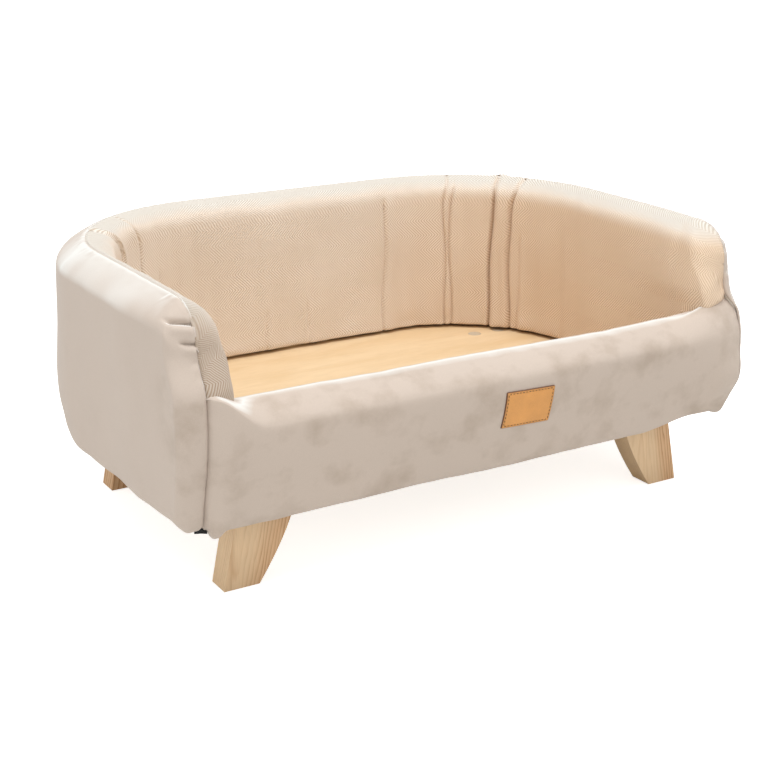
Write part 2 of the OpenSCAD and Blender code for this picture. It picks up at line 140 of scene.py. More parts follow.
class BedFinish(bpy.types.PropertyGroup):
    """Colours and weave sizes of the bed's materials"""

    velvet: bpy.props.StringProperty(
        name="Velvet", description="Colour of the velvet, as sRGB hex", default="C1B1A3")
    velvet_dark: bpy.props.StringProperty(
        name="Velvet, brushed down", description="Colour of the pile where it is brushed down",
        default="A69483")
    lining_light: bpy.props.StringProperty(
        name="Lining, light yarn", description="Light yarn of the herringbone, as sRGB hex",
        default="EDE1D3")
    lining_dark: bpy.props.StringProperty(
        name="Lining, dark yarn", description="Dark yarn of the herringbone, as sRGB hex",
        default="C6B09A")
    weave_pitch: metres(
        name="Twill pitch", description="Distance between two dark twill lines, across them",
        default=0.0027)
    weave_band: metres(
        name="Herringbone band", description="Height of one band of twill before it turns back",
        default=0.0200)
    leather: bpy.props.StringProperty(
        name="Leather", description="Colour of the leather patch, as sRGB hex", default="D6954D")
    pine: bpy.props.StringProperty(
        name="Pine", description="Colour of the legs' early wood, as sRGB hex", default="DDBE97")
    ply: bpy.props.StringProperty(
        name="Plywood", description="Colour of the floor's face veneer, as sRGB hex", default="DFC39C")


# ---------------------------------------------------------------- form of the wall

def ease(t):
    """Smooth step: half a cosine wave from 0 to 1."""
    return (1 - np.cos(np.pi * np.clip(t, 0, 1))) / 2


def ramp(x, start, reach):
    """Smooth step from 0 at a start to 1 a reach further on, downwards where the reach
    is negative."""
    return ease((x - start) / reach)


def quarter(x, top, reach):
    """One minus a quarter sine: 1 at the top and past it, falling first steeply and then
    gently to 0 at a reach before it, or after it where the reach is negative."""
    return 1 - np.sin(np.pi / 2 * np.clip((top - x) / reach, 0, 1))


def bump_at(x, centre, width):
    """Bell curve of height 1, e to the power of minus the squared distance over the width."""
    return np.exp(-((x - centre) / width) ** 2)


def waves(p, seed, count, shortest, longest, squash=(1, 1, 1)):
    """Soft irregular relief: a sum of a count of sine waves over the place in space, of
    seeded directions, phases and lengths between the shortest and the longest, scaled to
    about plus or minus one. A squash below 1 draws the waves out along its axis."""
    rng = np.random.default_rng(seed)
    length = np.exp(rng.uniform(math.log(shortest), math.log(longest), count))
    way = rng.normal(size=(count, 3))
    way /= np.linalg.norm(way, axis=1, keepdims=True)
    phase = rng.uniform(0, 2 * math.pi, count)
    weight = np.sqrt(length / longest)
    turns = (p * np.array(squash)) @ (way / length[:, None]).T
    return np.sin(2 * math.pi * turns + phase) @ weight / math.sqrt((weight ** 2).sum() / 2)


def in_runs(*runs):
    """Even places in runs of (start, end, count), each run but the last without its end."""
    return np.concatenate([
        np.linspace(start, end, count, endpoint=run == len(runs))
        for run, (start, end, count) in enumerate(runs, 1)])


# sizes that the panel doesn't offer, in millimetres; of a pair the first is for the left
# end of the rail and the second for its right end
COVER_SIZES = {
    "arm_back": 18,  # an arm's end stands back from the rail's front seam
    "hem_r": 8,  # radius of the velvet's bottom edge
    "hem_w": 38,  # width of the wall's hem under the foam
    "rail_hem_w": 24,  # width of the rail's hem
    "tuck": 24,  # the front stands back at the hem
    "fade": 100,  # length along an arm over which the front line's lean dies out
    "blend": 60,  # length from an arm's end over which its rounding dies out
    "end_rise": (20, 43),  # rise of the rail's front edge beside an arm
    "line_rise": (20, 34),  # rise there of the line where the rail meets the lining
    "rise_len": (64, 88),  # length of these rises
    "drop": 28,  # drop of the rail's top from its crest to its front and inner edge
    "end_drop": (6, 74),  # the same beside an arm
    "belly_len": 24,  # length over which the rail's belly starts at an end
    "square": 0.62,  # power that makes a quarter round squarish, where 1 is a circle
    "ridge_out": 19,  # drop from the seam over half the wall, outside and on the left arm
    "ridge_in": 7,  # the same on the rest of the inside
    "press_low": 40,  # depth of the right arm's pressed outer edge beside the rail
    "press_top": 56}  # the same above it


def bed_sizes(context):
    """All sizes in millimetres, with the ones that follow from them."""
    p = context.scene.bed_shape
    b = SimpleNamespace(**{k: getattr(p, k) / MM for k in BedShape.__annotations__}, **COVER_SIZES)
    b.half_t = b.wall_t / 2
    b.side_x = b.body_w / 2 - b.crown
    b.back_y = CAD_BOX[1][1] / MM - b.crown
    b.mid_r = b.rear_r - b.half_t
    b.corner_x = b.side_x - b.rear_r
    b.corner_y = b.back_y - b.rear_r
    b.arm_x = b.side_x - b.half_t
    b.belly_y = CAD_BOX[0][1] / MM
    b.seam_y = b.belly_y + b.rail_belly
    b.arm_y = b.seam_y + b.arm_back
    b.bend_len = b.mid_r * math.pi / 2
    b.half_len = b.corner_x + b.bend_len + b.corner_y - b.arm_y
    b.board_z = BOARD_BOX[1][2] / MM
    b.hem_z = WALL_BOX[0][2] / MM
    b.rail_in_y = b.belly_y + b.rail_t
    return b


def front_y(b, z):
    """Front line of the bed at a height: it leans out by a quarter sine up to 93 % of
    the rail's height, and steps back by half a cosine wave from 9 to 59 mm above it."""
    lean = b.tuck * quarter(z, b.hem_z, -0.93 * (b.rail_top - b.hem_z))
    return b.seam_y + lean + b.arm_back * ramp(z, b.rail_top + 9, 50)


def nose_at(b, z, face, half, a):
    """Depth over which an arm's end rounds over at a height: small, so nearly square, up
    to just above the rail, and large 50 mm further up. By the sine of the crest's angle it
    goes over into the depth of the outer edge, which is pressed round on the right arm and
    nearly square on the left."""
    up = ramp(z, b.rail_top + (14 if face > 0 else 34), 50)
    level = b.nose_square + (b.nose_round - b.nose_square) * up
    if face > 0 and half > 0:
        side = b.press_low + (b.press_top - b.press_low) * up
        return b.nose_round + (side - b.nose_round) * np.sin(a)
    if face > 0:
        return level + (b.nose_square + 4 * up - level) * np.sin(a)
    return level


def place(b, u):
    """Point and outward direction of the wall's middle line at a length from the middle
    of the back: straight back, quarter circle, straight arm."""
    a, g = np.abs(u), np.sign(u)
    t = (a - b.corner_x) / b.mid_r
    turn = np.clip(t, 0, np.pi / 2)
    past = np.maximum(a - b.corner_x - b.bend_len, 0)
    x = g * (np.minimum(a, b.corner_x) + b.mid_r * np.sin(turn))
    y = b.corner_y + b.mid_r * np.cos(turn) - past
    return x, y, g * np.sin(turn), np.cos(turn)


def wall_stations(b, end, blend, rest, folds=()):
    """Places along one half of the wall as numbers of steps: over the arm's rounded end
    (0 to 1), over a short blend (1 to 2), then in millimetres past the blend to the
    middle of the back, closer together round the corner and closest at the folds."""
    far = np.linspace(0, b.half_len - b.blend, 2000)
    u = b.half_len - b.blend - far
    dense = 0.5 + ramp(u, b.corner_x - 30, 30) * ramp(u, b.corner_x + b.bend_len + 30, -30)
    for at, *_, curl in folds:
        dense = dense + 5 * bump_at(u, at + curl / 3, 7 + abs(curl) / 2)
    steps = np.concatenate([[0], np.cumsum((dense[1:] + dense[:-1]) / 2)])
    rest = np.interp(np.linspace(0, steps[-1], rest), steps, far)
    return np.concatenate([in_runs((0, 1, end), (1, 2, blend + 1))[:-1], 2 + rest])


def wall_surface(b, w, half, t, face, foot):
    """One cloth face of the padded wall over stations w and profile places t.
    half is -1 or 1 for the left or right half, face is 1 outside and -1 inside.
    The profile runs from the seam on the crest (t = 0), a low ridge, down a squarish
    quarter (t = 1) that starts at a slope of ridge over half the thickness, the upright
    face (t = 2), the rounded bottom edge (t = 3) and the hem (t = 4). The ridge is tall
    outside, and inside round the left arm, and low on the rest of the inside.
    Offsets shrink to nothing at the arm's front seam, by the sine of the rounding angle.
    The outer face swells by the crown and by 9 mm more at the two rear lower corners, and
    is pressed in by 17 % at an arm's end, which dies out over 120 mm.
    Gives the points, the place along the wall's middle line and the cloth height."""
    r = b.half_t
    w, t = w[:, None], t[None, :]
    a = np.clip(t, 0, 1) * np.pi / 2
    bend = np.clip(t - 2, 0, 1) * np.pi / 2
    inward = b.hem_r * (1 - np.cos(bend)) + np.clip(t - 3, 0, 1) * (b.hem_w - b.hem_r)
    theta = np.clip(w, 0, 1) * np.pi / 2
    e = np.sin(theta)
    mixed, past = np.clip(w - 1, 0, 1), np.maximum(w - 2, 0)
    crest_p = b.nose_round * (1 - np.cos(theta)) + mixed * (b.blend - b.nose_round) + past
    dip = b.nose_r - np.sqrt(np.maximum(b.nose_r ** 2 - np.maximum(b.nose_r - crest_p, 0) ** 2, 0))
    shoulder = b.body_h - dip - r
    arm = ramp(w, b.corner_y - b.arm_y + 40, -90) * (half < 0)
    ridge = b.ridge_in + (b.ridge_out - b.ridge_in) * (1 if face > 0 else arm)
    cap = (r - ridge) * np.cos(a) ** b.square + ridge * (1 - np.sin(a) ** b.square)
    z = shoulder + cap + (foot - shoulder) * np.clip(t - 1, 0, 1) - b.hem_r * np.sin(bend)
    n = nose_at(b, z, face, half, a)
    p = n * (1 - np.cos(theta)) + mixed * (b.blend - n) + past + inward * np.cos(theta)
    u = half * (b.half_len - p)
    x0, y0, nx, ny = place(b, u)
    swell, press = 0, 1
    if face > 0:
        swell = b.crown * np.sin(np.pi * np.clip((z - b.hem_z) / (b.body_h - b.hem_z), 0, 1))
        corner = bump_at(np.abs(u), b.corner_x + 0.6 * b.bend_len, 110)
        swell = swell + 9 * bump_at(z, 138, 56) * corner
        press = 1 - 0.17 * ramp(p, 120, -120)
    out = ((r + swell) * np.sin(a) ** b.square * press - inward) * e * face
    lean = (front_y(b, z) - b.arm_y) * ramp(p, b.fade, -b.fade)
    cloth_z = shoulder + r * (np.pi / 2 - a) + (foot - shoulder) * np.clip(t - 1, 0, 1)
    return np.stack([x0 + nx * out, y0 + ny * out + lean, z + 0 * out], -1), u, cloth_z + 0 * out


def surface_normal(p):
    """Unit normal of each grid point, from the cross product of the two grid directions."""
    du = np.gradient(p, axis=0)
    dt = np.gradient(p, axis=1)
    n = np.cross(du, dt)
    return n / np.maximum(np.linalg.norm(n, axis=-1, keepdims=True), 1e-9)


def run_length(p, axis):
    """Length along a grid direction, summed from one grid point to the next."""
    step = np.linalg.norm(np.diff(p, axis=axis), axis=-1)
    total = np.cumsum(step, axis=axis)
    first = np.zeros_like(np.take(total, [0], axis=axis))
    return np.concatenate([first, total], axis=axis)


def grid_faces(n, m):
    """Quads of a grid of n by m points, as an array of index fours."""
    i = np.arange(n - 1)[:, None] * m + np.arange(m - 1)[None, :]
    return np.stack([i, i + m, i + m + 1, i + 1], -1).reshape(-1, 4)


def new_piece(name, points, faces, uv=None):
    """A mesh object at the origin from a grid or list of points in millimetres, quads or
    triangles, and cloth coordinates in millimetres."""
    points, faces = np.reshape(points, (-1, 3)), np.asarray(faces)
    mesh = bpy.data.meshes.new(name)
    mesh.vertices.add(len(points))
    mesh.vertices.foreach_set("co", (points * MM).astype(np.float32).ravel())
    mesh.loops.add(faces.size)
    mesh.loops.foreach_set("vertex_index", faces.astype(np.int32).ravel())
    mesh.polygons.add(len(faces))
    mesh.polygons.foreach_set("loop_start", np.arange(0, faces.size, faces.shape[1], dtype=np.int32))
    mesh.update(calc_edges=True)
    if uv is not None:
        layer = mesh.uv_layers.new(name="cloth")
        corners = uv.reshape(-1, 2)[faces.ravel()] * MM
        layer.data.foreach_set("uv", corners.astype(np.float32).ravel())
    mesh.validate()
    mesh.polygons.foreach_set("use_smooth", np.ones(len(mesh.polygons), dtype=bool))
    obj = bpy.data.objects.new(name, mesh)
    bpy.context.scene.collection.objects.link(obj)
    return obj


def thicken(obj, thickness):
    """A Solidify modifier that gives a cloth its thickness inwards."""
    mod = obj.modifiers.new("cloth thickness", "SOLIDIFY")
    mod.thickness = thickness * MM
    mod.offset = -1
    mod.use_even_offset = False


def dress(obj, material, slot, *nodes):
    """Gives a piece its material, hides the nodes that it stands for, and lets it ride on
    the bed's only body. Its slot is not used."""
    obj.data.materials.append(material)
    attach(obj, "root")
    if nodes:
        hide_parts(*nodes)


def wall_cloth(b, stations, t, face, foot, relief, under=0.0, tuck_in=None):
    """Both halves of one cloth face as one grid, from the left arm's end round the back
    to the right one: each point moved along its normal by the relief, less the depth
    under the cloth. A 3 mm allowance turns in at each front seam. Gives points and cloth
    coordinates in millimetres: the length along the cloth at half height, except over an
    arm's rounded end, where each height has its own length, and the cloth height."""
    parts = []
    for half in (-1, 1):
        w = stations[half > 0]
        p, u, cloth_z = wall_surface(b, w, half, t, face, foot)
        own = run_length(p, 0)
        mid, past = own[:, [int(np.searchsorted(t, 1.5))]], int(np.searchsorted(w, 2))
        run = np.where(np.arange(len(w))[:, None] < past, own[past] - own, mid[past] - mid)
        run = half * (run + mid[-1] - mid[past])
        p = p + surface_normal(p) * (-half * face * (relief(b, p, u, half) - under))[..., None]
        # the two faces end 0.2 mm apart at the front seam, and their allowances 0.5 mm
        p[0, :, 0] = half * (b.arm_x + 0.1 * face)
        p = tuck_in(b, p) if tuck_in else p
        p = settle(np.concatenate([p[:1] + [half * 0.15 * face, 3, 0], p]))
        run, cloth_z = (np.concatenate([g[:1], g]) for g in (run, cloth_z))
        # the right half runs backwards, without the middle row that both halves share
        rows = slice(None) if half < 0 else slice(-2, None, -1)
        parts.append((p[rows], np.stack([run, cloth_z], -1)[rows]))
    return tuple(np.concatenate([part[i] for part in parts]) for i in (0, 1))


# slumps of the soft parts in use: the axis that they move a place along and how far, then
# ramps and bells, each with the axis it runs along, its start or middle and its reach
AT_FRONT = (ramp, 1, -170, -60)
AT_HEM = ((ramp, 2, 128, -34), (ramp, 1, -196, -26))
SLUMPS = (
    # the rail's right end leans back at its top, and its belly runs on into the arm
    (1, 8, (ramp, 0, 258, 54), (ramp, 1, -150, -60), (bump_at, 2, 226, 24)),
    (1, -8, (quarter, 0, 331, 24), (ramp, 0, 343, -12), AT_FRONT, (ramp, 2, 242, -30)),
    # the arm's lining stands back where the rail's end meets it, up to the seam
    (1, 5, (ramp, 0, 312, 16), (ramp, 0, 331.5, -1e-6), AT_FRONT, (bump_at, 2, 244, 14)),
    # the right front corner swells forwards
    (1, -11, (ramp, 0, 290, 40), AT_FRONT, (bump_at, 2, 140, 26)),
    # the right arm's tip leans in, and so do its lowest edge and the velvet above the rail
    (0, -4, (ramp, 0, 240, 80), (ramp, 1, -110, -90), (ramp, 2, 212, 30)),
    (0, -9, (ramp, 0, 322, 34), (ramp, 2, 120, -24), AT_FRONT),
    (0, -6, (ramp, 0, 330, 24), (ramp, 1, -150, -60), (bump_at, 2, 244, 24)),
    # the seam between that arm and the rail lies further round
    (0, 5, (bump_at, 0, 331, 15), (ramp, 1, -212, -20), (ramp, 2, 240, -24)),
    # along the front the covers hang below the board, but for the right end
    (2, -9.5, (ramp, 0, -358, 14), (ramp, 0, 290, -75), *AT_HEM),
    # they hang lowest in a flap at the front left leg, and once more at the right arm's seam
    (2, -8, (bump_at, 0, -319, 6), *AT_HEM),
    (2, 1, (bump_at, 0, -334, 9), *AT_HEM),
    (2, -7, (bump_at, 0, 338, 15), *AT_HEM))


def settle(p):
    """Moves each point by the sum of the slumps, each as far as the product of its ramps
    and bells says."""
    moved = p.copy()
    for axis, far, *parts in SLUMPS:
        share = math.prod(part(p[..., k], at, reach) for part, k, at, reach in parts)
        moved[..., axis] += far * share
    return moved


def seam_gap(b, p):
    """Distance from the seam that runs along the crest and down the front of each arm:
    sideways from the wall's middle line on top, and from the arm's middle in front."""
    x, y, z = p[..., 0], p[..., 1], p[..., 2]
    turn = np.hypot(np.abs(x) - b.corner_x, y - b.corner_y)
    back = np.abs(y - b.corner_y - b.mid_r)
    side = np.abs(np.abs(x) - b.arm_x)
    bend = np.abs(turn - b.mid_r)
    across = np.where(np.abs(x) < b.corner_x, back, np.where(y > b.corner_y, bend, side))
    up_here = z > b.body_h - b.half_t - b.nose_r
    in_front = y < b.arm_y + b.nose_round
    return np.where(up_here | in_front, across, 60)


def seam_relief(b, p):
    """Relief where two covers are sewn together: a groove 5 mm wide, left out in front of
    the right arm, puckers beside it, and a knob of 3 mm on the crest, where the lining's
    folds are gathered at the right rear corner. Also gives how free of the seam the
    padding is, from 0 at 2 mm to 1 at 32 mm."""
    d = seam_gap(b, p)
    x, y, z = p[..., 0], p[..., 1], p[..., 2]
    pucker = waves(p, 5, 12, 7, 20) * bump_at(d, 0, 12)
    knob = 3 * bump_at(np.hypot(x - 283, y - 155), 0, 9) * ramp(z, 285, 20)
    deep = b.seam_deep * (1 - ramp(x, 0, 60) * ramp(y, -200, -20))
    return -deep * bump_at(d, 0, 2.6) + 0.16 * pucker + knob, ramp(d, 2, 30)


# pleats of the arm ends: height at the seam, rise per millimetre outwards, length, depth
LEFT_PLEATS = ((295, 0.12, 27, 6.4), (276, 0.16, 19, 5.0), (262, -0.36, 14, 1.4), (246, -0.2, 12, 0.8))
RIGHT_PLEATS = ((298, -0.2, 22, 1.8), (287, -0.3, 18, 1.4), (262, -0.1, 22, 1.0), (240, 0.1, 12, 0.6))


def outer_relief(b, p, u, half):
    """Relief of the velvet, outwards: the drawn-in seam with its small puckers, soft
    waves in the padding, the pleats at each arm's end, each a sharp dent with a lip 6 mm
    below it, and ripples along the hem."""
    x, y, z = p[..., 0], p[..., 1], p[..., 2]
    out, free = seam_relief(b, p)
    out += (0.8 * waves(p, 21, 12, 70, 260) + 0.1 * waves(p, 31, 14, 24, 60)) * free
    reach = np.abs(x) - b.arm_x
    front = ramp(y, b.arm_y + 34, -16)
    for at, slope, length, deep in (RIGHT_PLEATS if half > 0 else LEFT_PLEATS):
        line = z - at - slope * reach
        near = front * ramp(reach, length, -9) * ramp(reach, -0.6, 3)
        out -= deep * np.exp(-(np.abs(line) / 1.9) ** 1.5) * near
        out += deep * 0.4 * bump_at(line, -6, 5) * near
    return out + 0.35 * waves(p, 41, 10, 24, 70, (1, 1, 0.3)) * bump_at(z, b.hem_z + 8, 12)


# upright folds of the lining: place along the wall's middle line, depth, half width,
# drift per 100 mm of height, where it fades out at the top, side of its raised lip, and
# how far it curls sideways over the rim
RIGHT_FOLDS = (
    (124, 3.6, 2.0, 1, 290, 1, 0), (225, 4.2, 2.0, -3, 330, 0, 9), (234, 3.8, 1.9, -3, 306, 0, 9),
    (297.5, 8.5, 2.4, 2, 318, 1, 2), (329, 6.5, 2.4, -2, 330, -1, 14), (347, 2.2, 2.2, 3, 240, 1, 0),
    (10, 1.8, 2.0, 1, 170, 1, 0))
LEFT_FOLDS = (
    (250, 5.0, 2.2, 2, 330, 1, 14), (303, 4.8, 2.3, -3, 330, 0, 40), (310, 6.0, 2.4, -3, 330, -1, 40),
    (212, 1.8, 2.2, 2, 240, 1, 0), (53, 2.0, 2.0, 2, 165, -1, 0))


def lining_relief(b, p, u, half):
    """Relief of the lining, into the seat: the drawn-in seam, the upright folds round
    each rear corner with a raised lip beside each, padding and a tucked bottom edge."""
    z = p[..., 2]
    out, free = seam_relief(b, p)
    out += (0.8 * waves(p, 61, 12, 60, 200) + 0.7 * waves(p, 71, 16, 14, 60, (1, 1, 0.15))) * free
    for at, deep, width, drift, top, lip, curl in (RIGHT_FOLDS if half > 0 else LEFT_FOLDS):
        # a fold wanders by 1.8 mm either way over 145 mm of height
        line = np.abs(u) - at - drift * (z - 200) / 100
        line = line - 1.8 * np.sin(z / 23 + at) - curl * ramp(z, 268, 55)
        fade = ramp(z, top + 8, -16) * (1 - 0.5 * ramp(z, 285, 40))
        out -= deep * np.exp(-(np.abs(line) / width) ** 1.4) * fade
        out += deep * 0.35 * bump_at(line, 9 * lip, 6) * fade * abs(lip)
    # the bottom edge turns in by 6 mm over a quarter round about 10 mm tall, and by 8 mm
    # more in the lowest 5 mm
    tall = 10 + 2.0 * waves(p, 81, 10, 16, 60, (1, 1, 0))
    tuck = np.clip((z - b.board_z) / tall, 0, 1)
    out -= 6 * (1 - np.sqrt(1 - (1 - tuck) ** 2)) + 8 * ramp(z, b.board_z + 5, -2.5)
    return out + 0.8 * waves(p, 82, 10, 14, 44, (1, 1, 0.2)) * bump_at(z, b.board_z + 12, 9)


def behind_rail(b, p):
    """Tucks the part of the lining that the rail's cover hides 9 mm back into the arm."""
    x, y, z = p[..., 0], p[..., 1], p[..., 2]
    line = b.rail_top + np.where(x > 0, b.line_rise[1], b.line_rise[0]) * rail_near(b, x) - 9
    return p + np.stack([0 * x, 9 * ramp(z, line, -9) * ramp(y, b.rail_in_y + 4, -8), 0 * x], -1)


def rail_near(b, x):
    """How near the end of the rail a place is: 1 at the arm, 0 past the rise, along half
    a cosine wave on the left and along a power of the distance on the right."""
    left = ramp(np.abs(x), b.arm_x - b.rise_len[0], b.rise_len[0])
    right = np.clip(1 - (b.arm_x - np.abs(x)) / b.rise_len[1], 0, 1) ** 1.6
    return np.where(x > 0, right, left)


def rail_face(b, x, z):
    """Front of the rail: the bed's front line, swollen by a quarter sine from each end."""
    belly = b.rail_belly * np.sin(np.pi / 2 * np.clip((b.arm_x - np.abs(x)) / b.belly_len, 0, 1))
    return front_y(b, np.minimum(z, b.rail_top)) - belly


# the rail's top from its inner edge to its front: share of the thickness, share of the
# drop below the crest, and share of the rise beside an arm
RAIL_OUTLINE = np.array([
    [0, 0.57, 0], [0.03, 0.33, 0], [0.10, 0.12, 0], [0.20, 0.02, 0], [0.33, 0, 0.04], [0.5, 0.06, 0.55],
    [0.68, 0.20, 0.92], [0.84, 0.40, 1], [0.94, 0.58, 1], [0.985, 0.74, 1], [1, 0.93, 1]])


def rail_surface(b, x, t, foot):
    """The rail's cover over places x and section places t: up the inner face (0 to 1),
    over the sloping top (1 to 2), down the front (2 to 3), round the bottom edge
    (3 to 4) and along the hem (4 to 5). Towards each end the front half of the top rises,
    and the slope of that half flattens on the left and steepens on the right."""
    x, t = x[:, None], t[None, :]
    q = rail_near(b, x)
    rise = np.where(x > 0, b.end_rise[1], b.end_rise[0]) * q
    s, k = np.clip(t - 1, 0, 1) * (len(RAIL_OUTLINE) - 1), np.arange(len(RAIL_OUTLINE))
    share, fall, lift = (np.interp(s, k, column) for column in RAIL_OUTLINE.T)
    front_half = q * ramp(share, 0.2, 0.4)
    end_drop = np.where(x > 0, b.end_drop[1], b.end_drop[0])
    top_z = b.rail_top - (b.drop + (end_drop - b.drop) * front_half) * fall + rise * lift
    in_top, shoulder = top_z[:, :1], top_z[:, -1:]
    in_foot = b.board_z + BOARD_GAP
    in_z = in_foot + (in_top - in_foot) * np.clip(t, 0, 1)
    bend = np.clip(t - 3, 0, 1) * np.pi / 2
    low_z = shoulder + (foot - shoulder) * np.clip(t - 2, 0, 1) - b.hem_r * np.sin(bend)
    z = np.where(t <= 1, in_z, np.where(t <= 2, top_z, low_z))
    face = rail_face(b, x, np.where(t <= 2, shoulder, z))
    turn = face + b.hem_r * (1 - np.cos(bend)) + np.clip(t - 4, 0, 1) * (b.rail_hem_w - b.hem_r)
    y = np.where(t <= 2, b.rail_in_y + (face - b.rail_in_y) * share * (t > 1), turn)
    return np.stack([x + 0 * z, y + 0 * z, z], -1)


def soften(p, turns):
    """Rounds the corners of a section: each inner column becomes the mean of itself and
    its two neighbours, several times over."""
    for _ in range(turns):
        inner = (p[:, :-2] + 2 * p[:, 1:-1] + p[:, 2:]) / 4
        p = np.concatenate([p[:, :1], inner, p[:, -1:]], axis=1)
    return p


def rail_relief(b, p):
    """Relief of the rail's cover: drawn in at the seam with the left arm and puckered at
    both, softly waved padding, a fold that slants across the lower left corner with a roll
    above it, and ripples along the bottom edge."""
    x, z = p[..., 0], p[..., 2]
    end = b.arm_x - np.abs(x)
    slant = z - 101 + 1.35 * (x + 331)
    roll = 2.2 * bump_at(slant, 4, 3) - 2.6 * bump_at(slant, -2, 2.2)
    roll = roll * ramp(x, -315, -5) * ramp(end, 1, 3)
    out = -b.seam_deep * np.where(x > 0, 0, 1.2) * bump_at(end, 0, 2.2)
    out += 0.3 * waves(p, 5, 12, 7, 20) * bump_at(end, 0, 12)
    out += (0.7 * waves(p, 91, 12, 90, 260) + 0.1 * waves(p, 92, 12, 24, 60)) * ramp(end, 2, 30)
    return out + roll + 0.2 * waves(p, 94, 10, 30, 90, (1, 1, 0.3)) * bump_at(z, b.hem_z + 8, 12)


def rail_cloth(b, x, t, foot, under=0.0):
    """The rail's cover with its relief, less the depth under the cloth, and its cloth
    coordinates. Near the ends the relief moves nothing sideways. A 3 mm allowance turns in
    at each end, under the arms' covers."""
    p = soften(rail_surface(b, x, t, foot), 6)
    run = run_length(p[:, p.shape[1] // 2][:, None], 0) + 0 * p[..., 0]
    climb = run_length(p, 1)
    n = surface_normal(p)
    n[..., 0] *= ramp(np.abs(x), b.arm_x - 1, -20)[:, None]
    n /= np.linalg.norm(n, axis=-1, keepdims=True)
    p = p - n * (rail_relief(b, p) - under)[..., None]
    p = settle(np.concatenate([p[:1] + 3 * n[:1], p, p[-1:] + 3 * n[-1:]]))
    run, climb = (np.concatenate([g[:1], g, g[-1:]]) for g in (run, climb))
    return p, np.stack([run, climb], -1)


def weld(obj, distance):
    """Merges points of a mesh that lie together."""
    work = bmesh.new()
    work.from_mesh(obj.data)
    bmesh.ops.remove_doubles(work, verts=work.verts, dist=distance * MM)
    bmesh.ops.dissolve_degenerate(work, edges=work.edges, dist=distance * MM)
    work.to_mesh(obj.data)
    work.free()
    obj.data.update()


def ring_faces(n, m):
    """Quads of a grid of n by m points whose second direction closes on itself."""
    i, j = np.arange(n - 1)[:, None], np.arange(m)[None, :]
    k = (j + 1) % m
    return np.stack([i * m + j, (i + 1) * m + j, (i + 1) * m + k, i * m + k], -1).reshape(-1, 4)


# ---------------------------------------------------------------- materials

def to_linear(code):
    """An sRGB hex colour as linear red, green, blue and alpha."""
    c = np.array([int(code[i:i + 2], 16) / 255 for i in (0, 2, 4)])
    c = np.where(c <= 0.04045, c / 12.92, ((c + 0.055) / 1.055) ** 2.4)
    return (*c.tolist(), 1.0)


def add_node(tree, kind, inputs=(), **settings):
    """Adds one shader node with its settings and its inputs. An input is named, or
    numbered where several share a name, and takes a number, a tuple, an sRGB hex
    colour, or the node or the output that is linked to it."""
    node = tree.nodes.new("ShaderNode" + kind)
    for key, value in settings.items():
        setattr(node, key, value)
    for key, value in dict(inputs).items():
        socket = node.inputs[key] if isinstance(key, int) else next(
            s for s in node.inputs if s.enabled and s.name == key)
        if isinstance(value, bpy.types.Node):
            value = next(s for s in value.outputs if s.enabled)
        if isinstance(value, bpy.types.NodeSocket):
            tree.links.new(value, socket)
        else:
            socket.default_value = to_linear(value) if isinstance(value, str) else value
    return node


def new_material(name):
    """An empty material, and the call that adds nodes to it."""
    mat = bpy.data.materials.new(name)
    mat.use_nodes = True
    mat.node_tree.nodes.clear()
    return mat, partial(add_node, mat.node_tree)


def shaded(add, tone, patterns, start=0.3, end=0.7):
    """A colour multiplied by patterns in turn: each goes from its first level to its
    second while the pattern's value goes from start to end."""
    for value, first, last in patterns:
        level = add("MapRange", {
            "Value": value, "From Min": start, "From Max": end, "To Min": first, "To Max": last})
        tone = add("Mix", {"Factor": 1.0, "A": tone, "B": level},
                   data_type="RGBA", blend_type="MULTIPLY")
    return tone


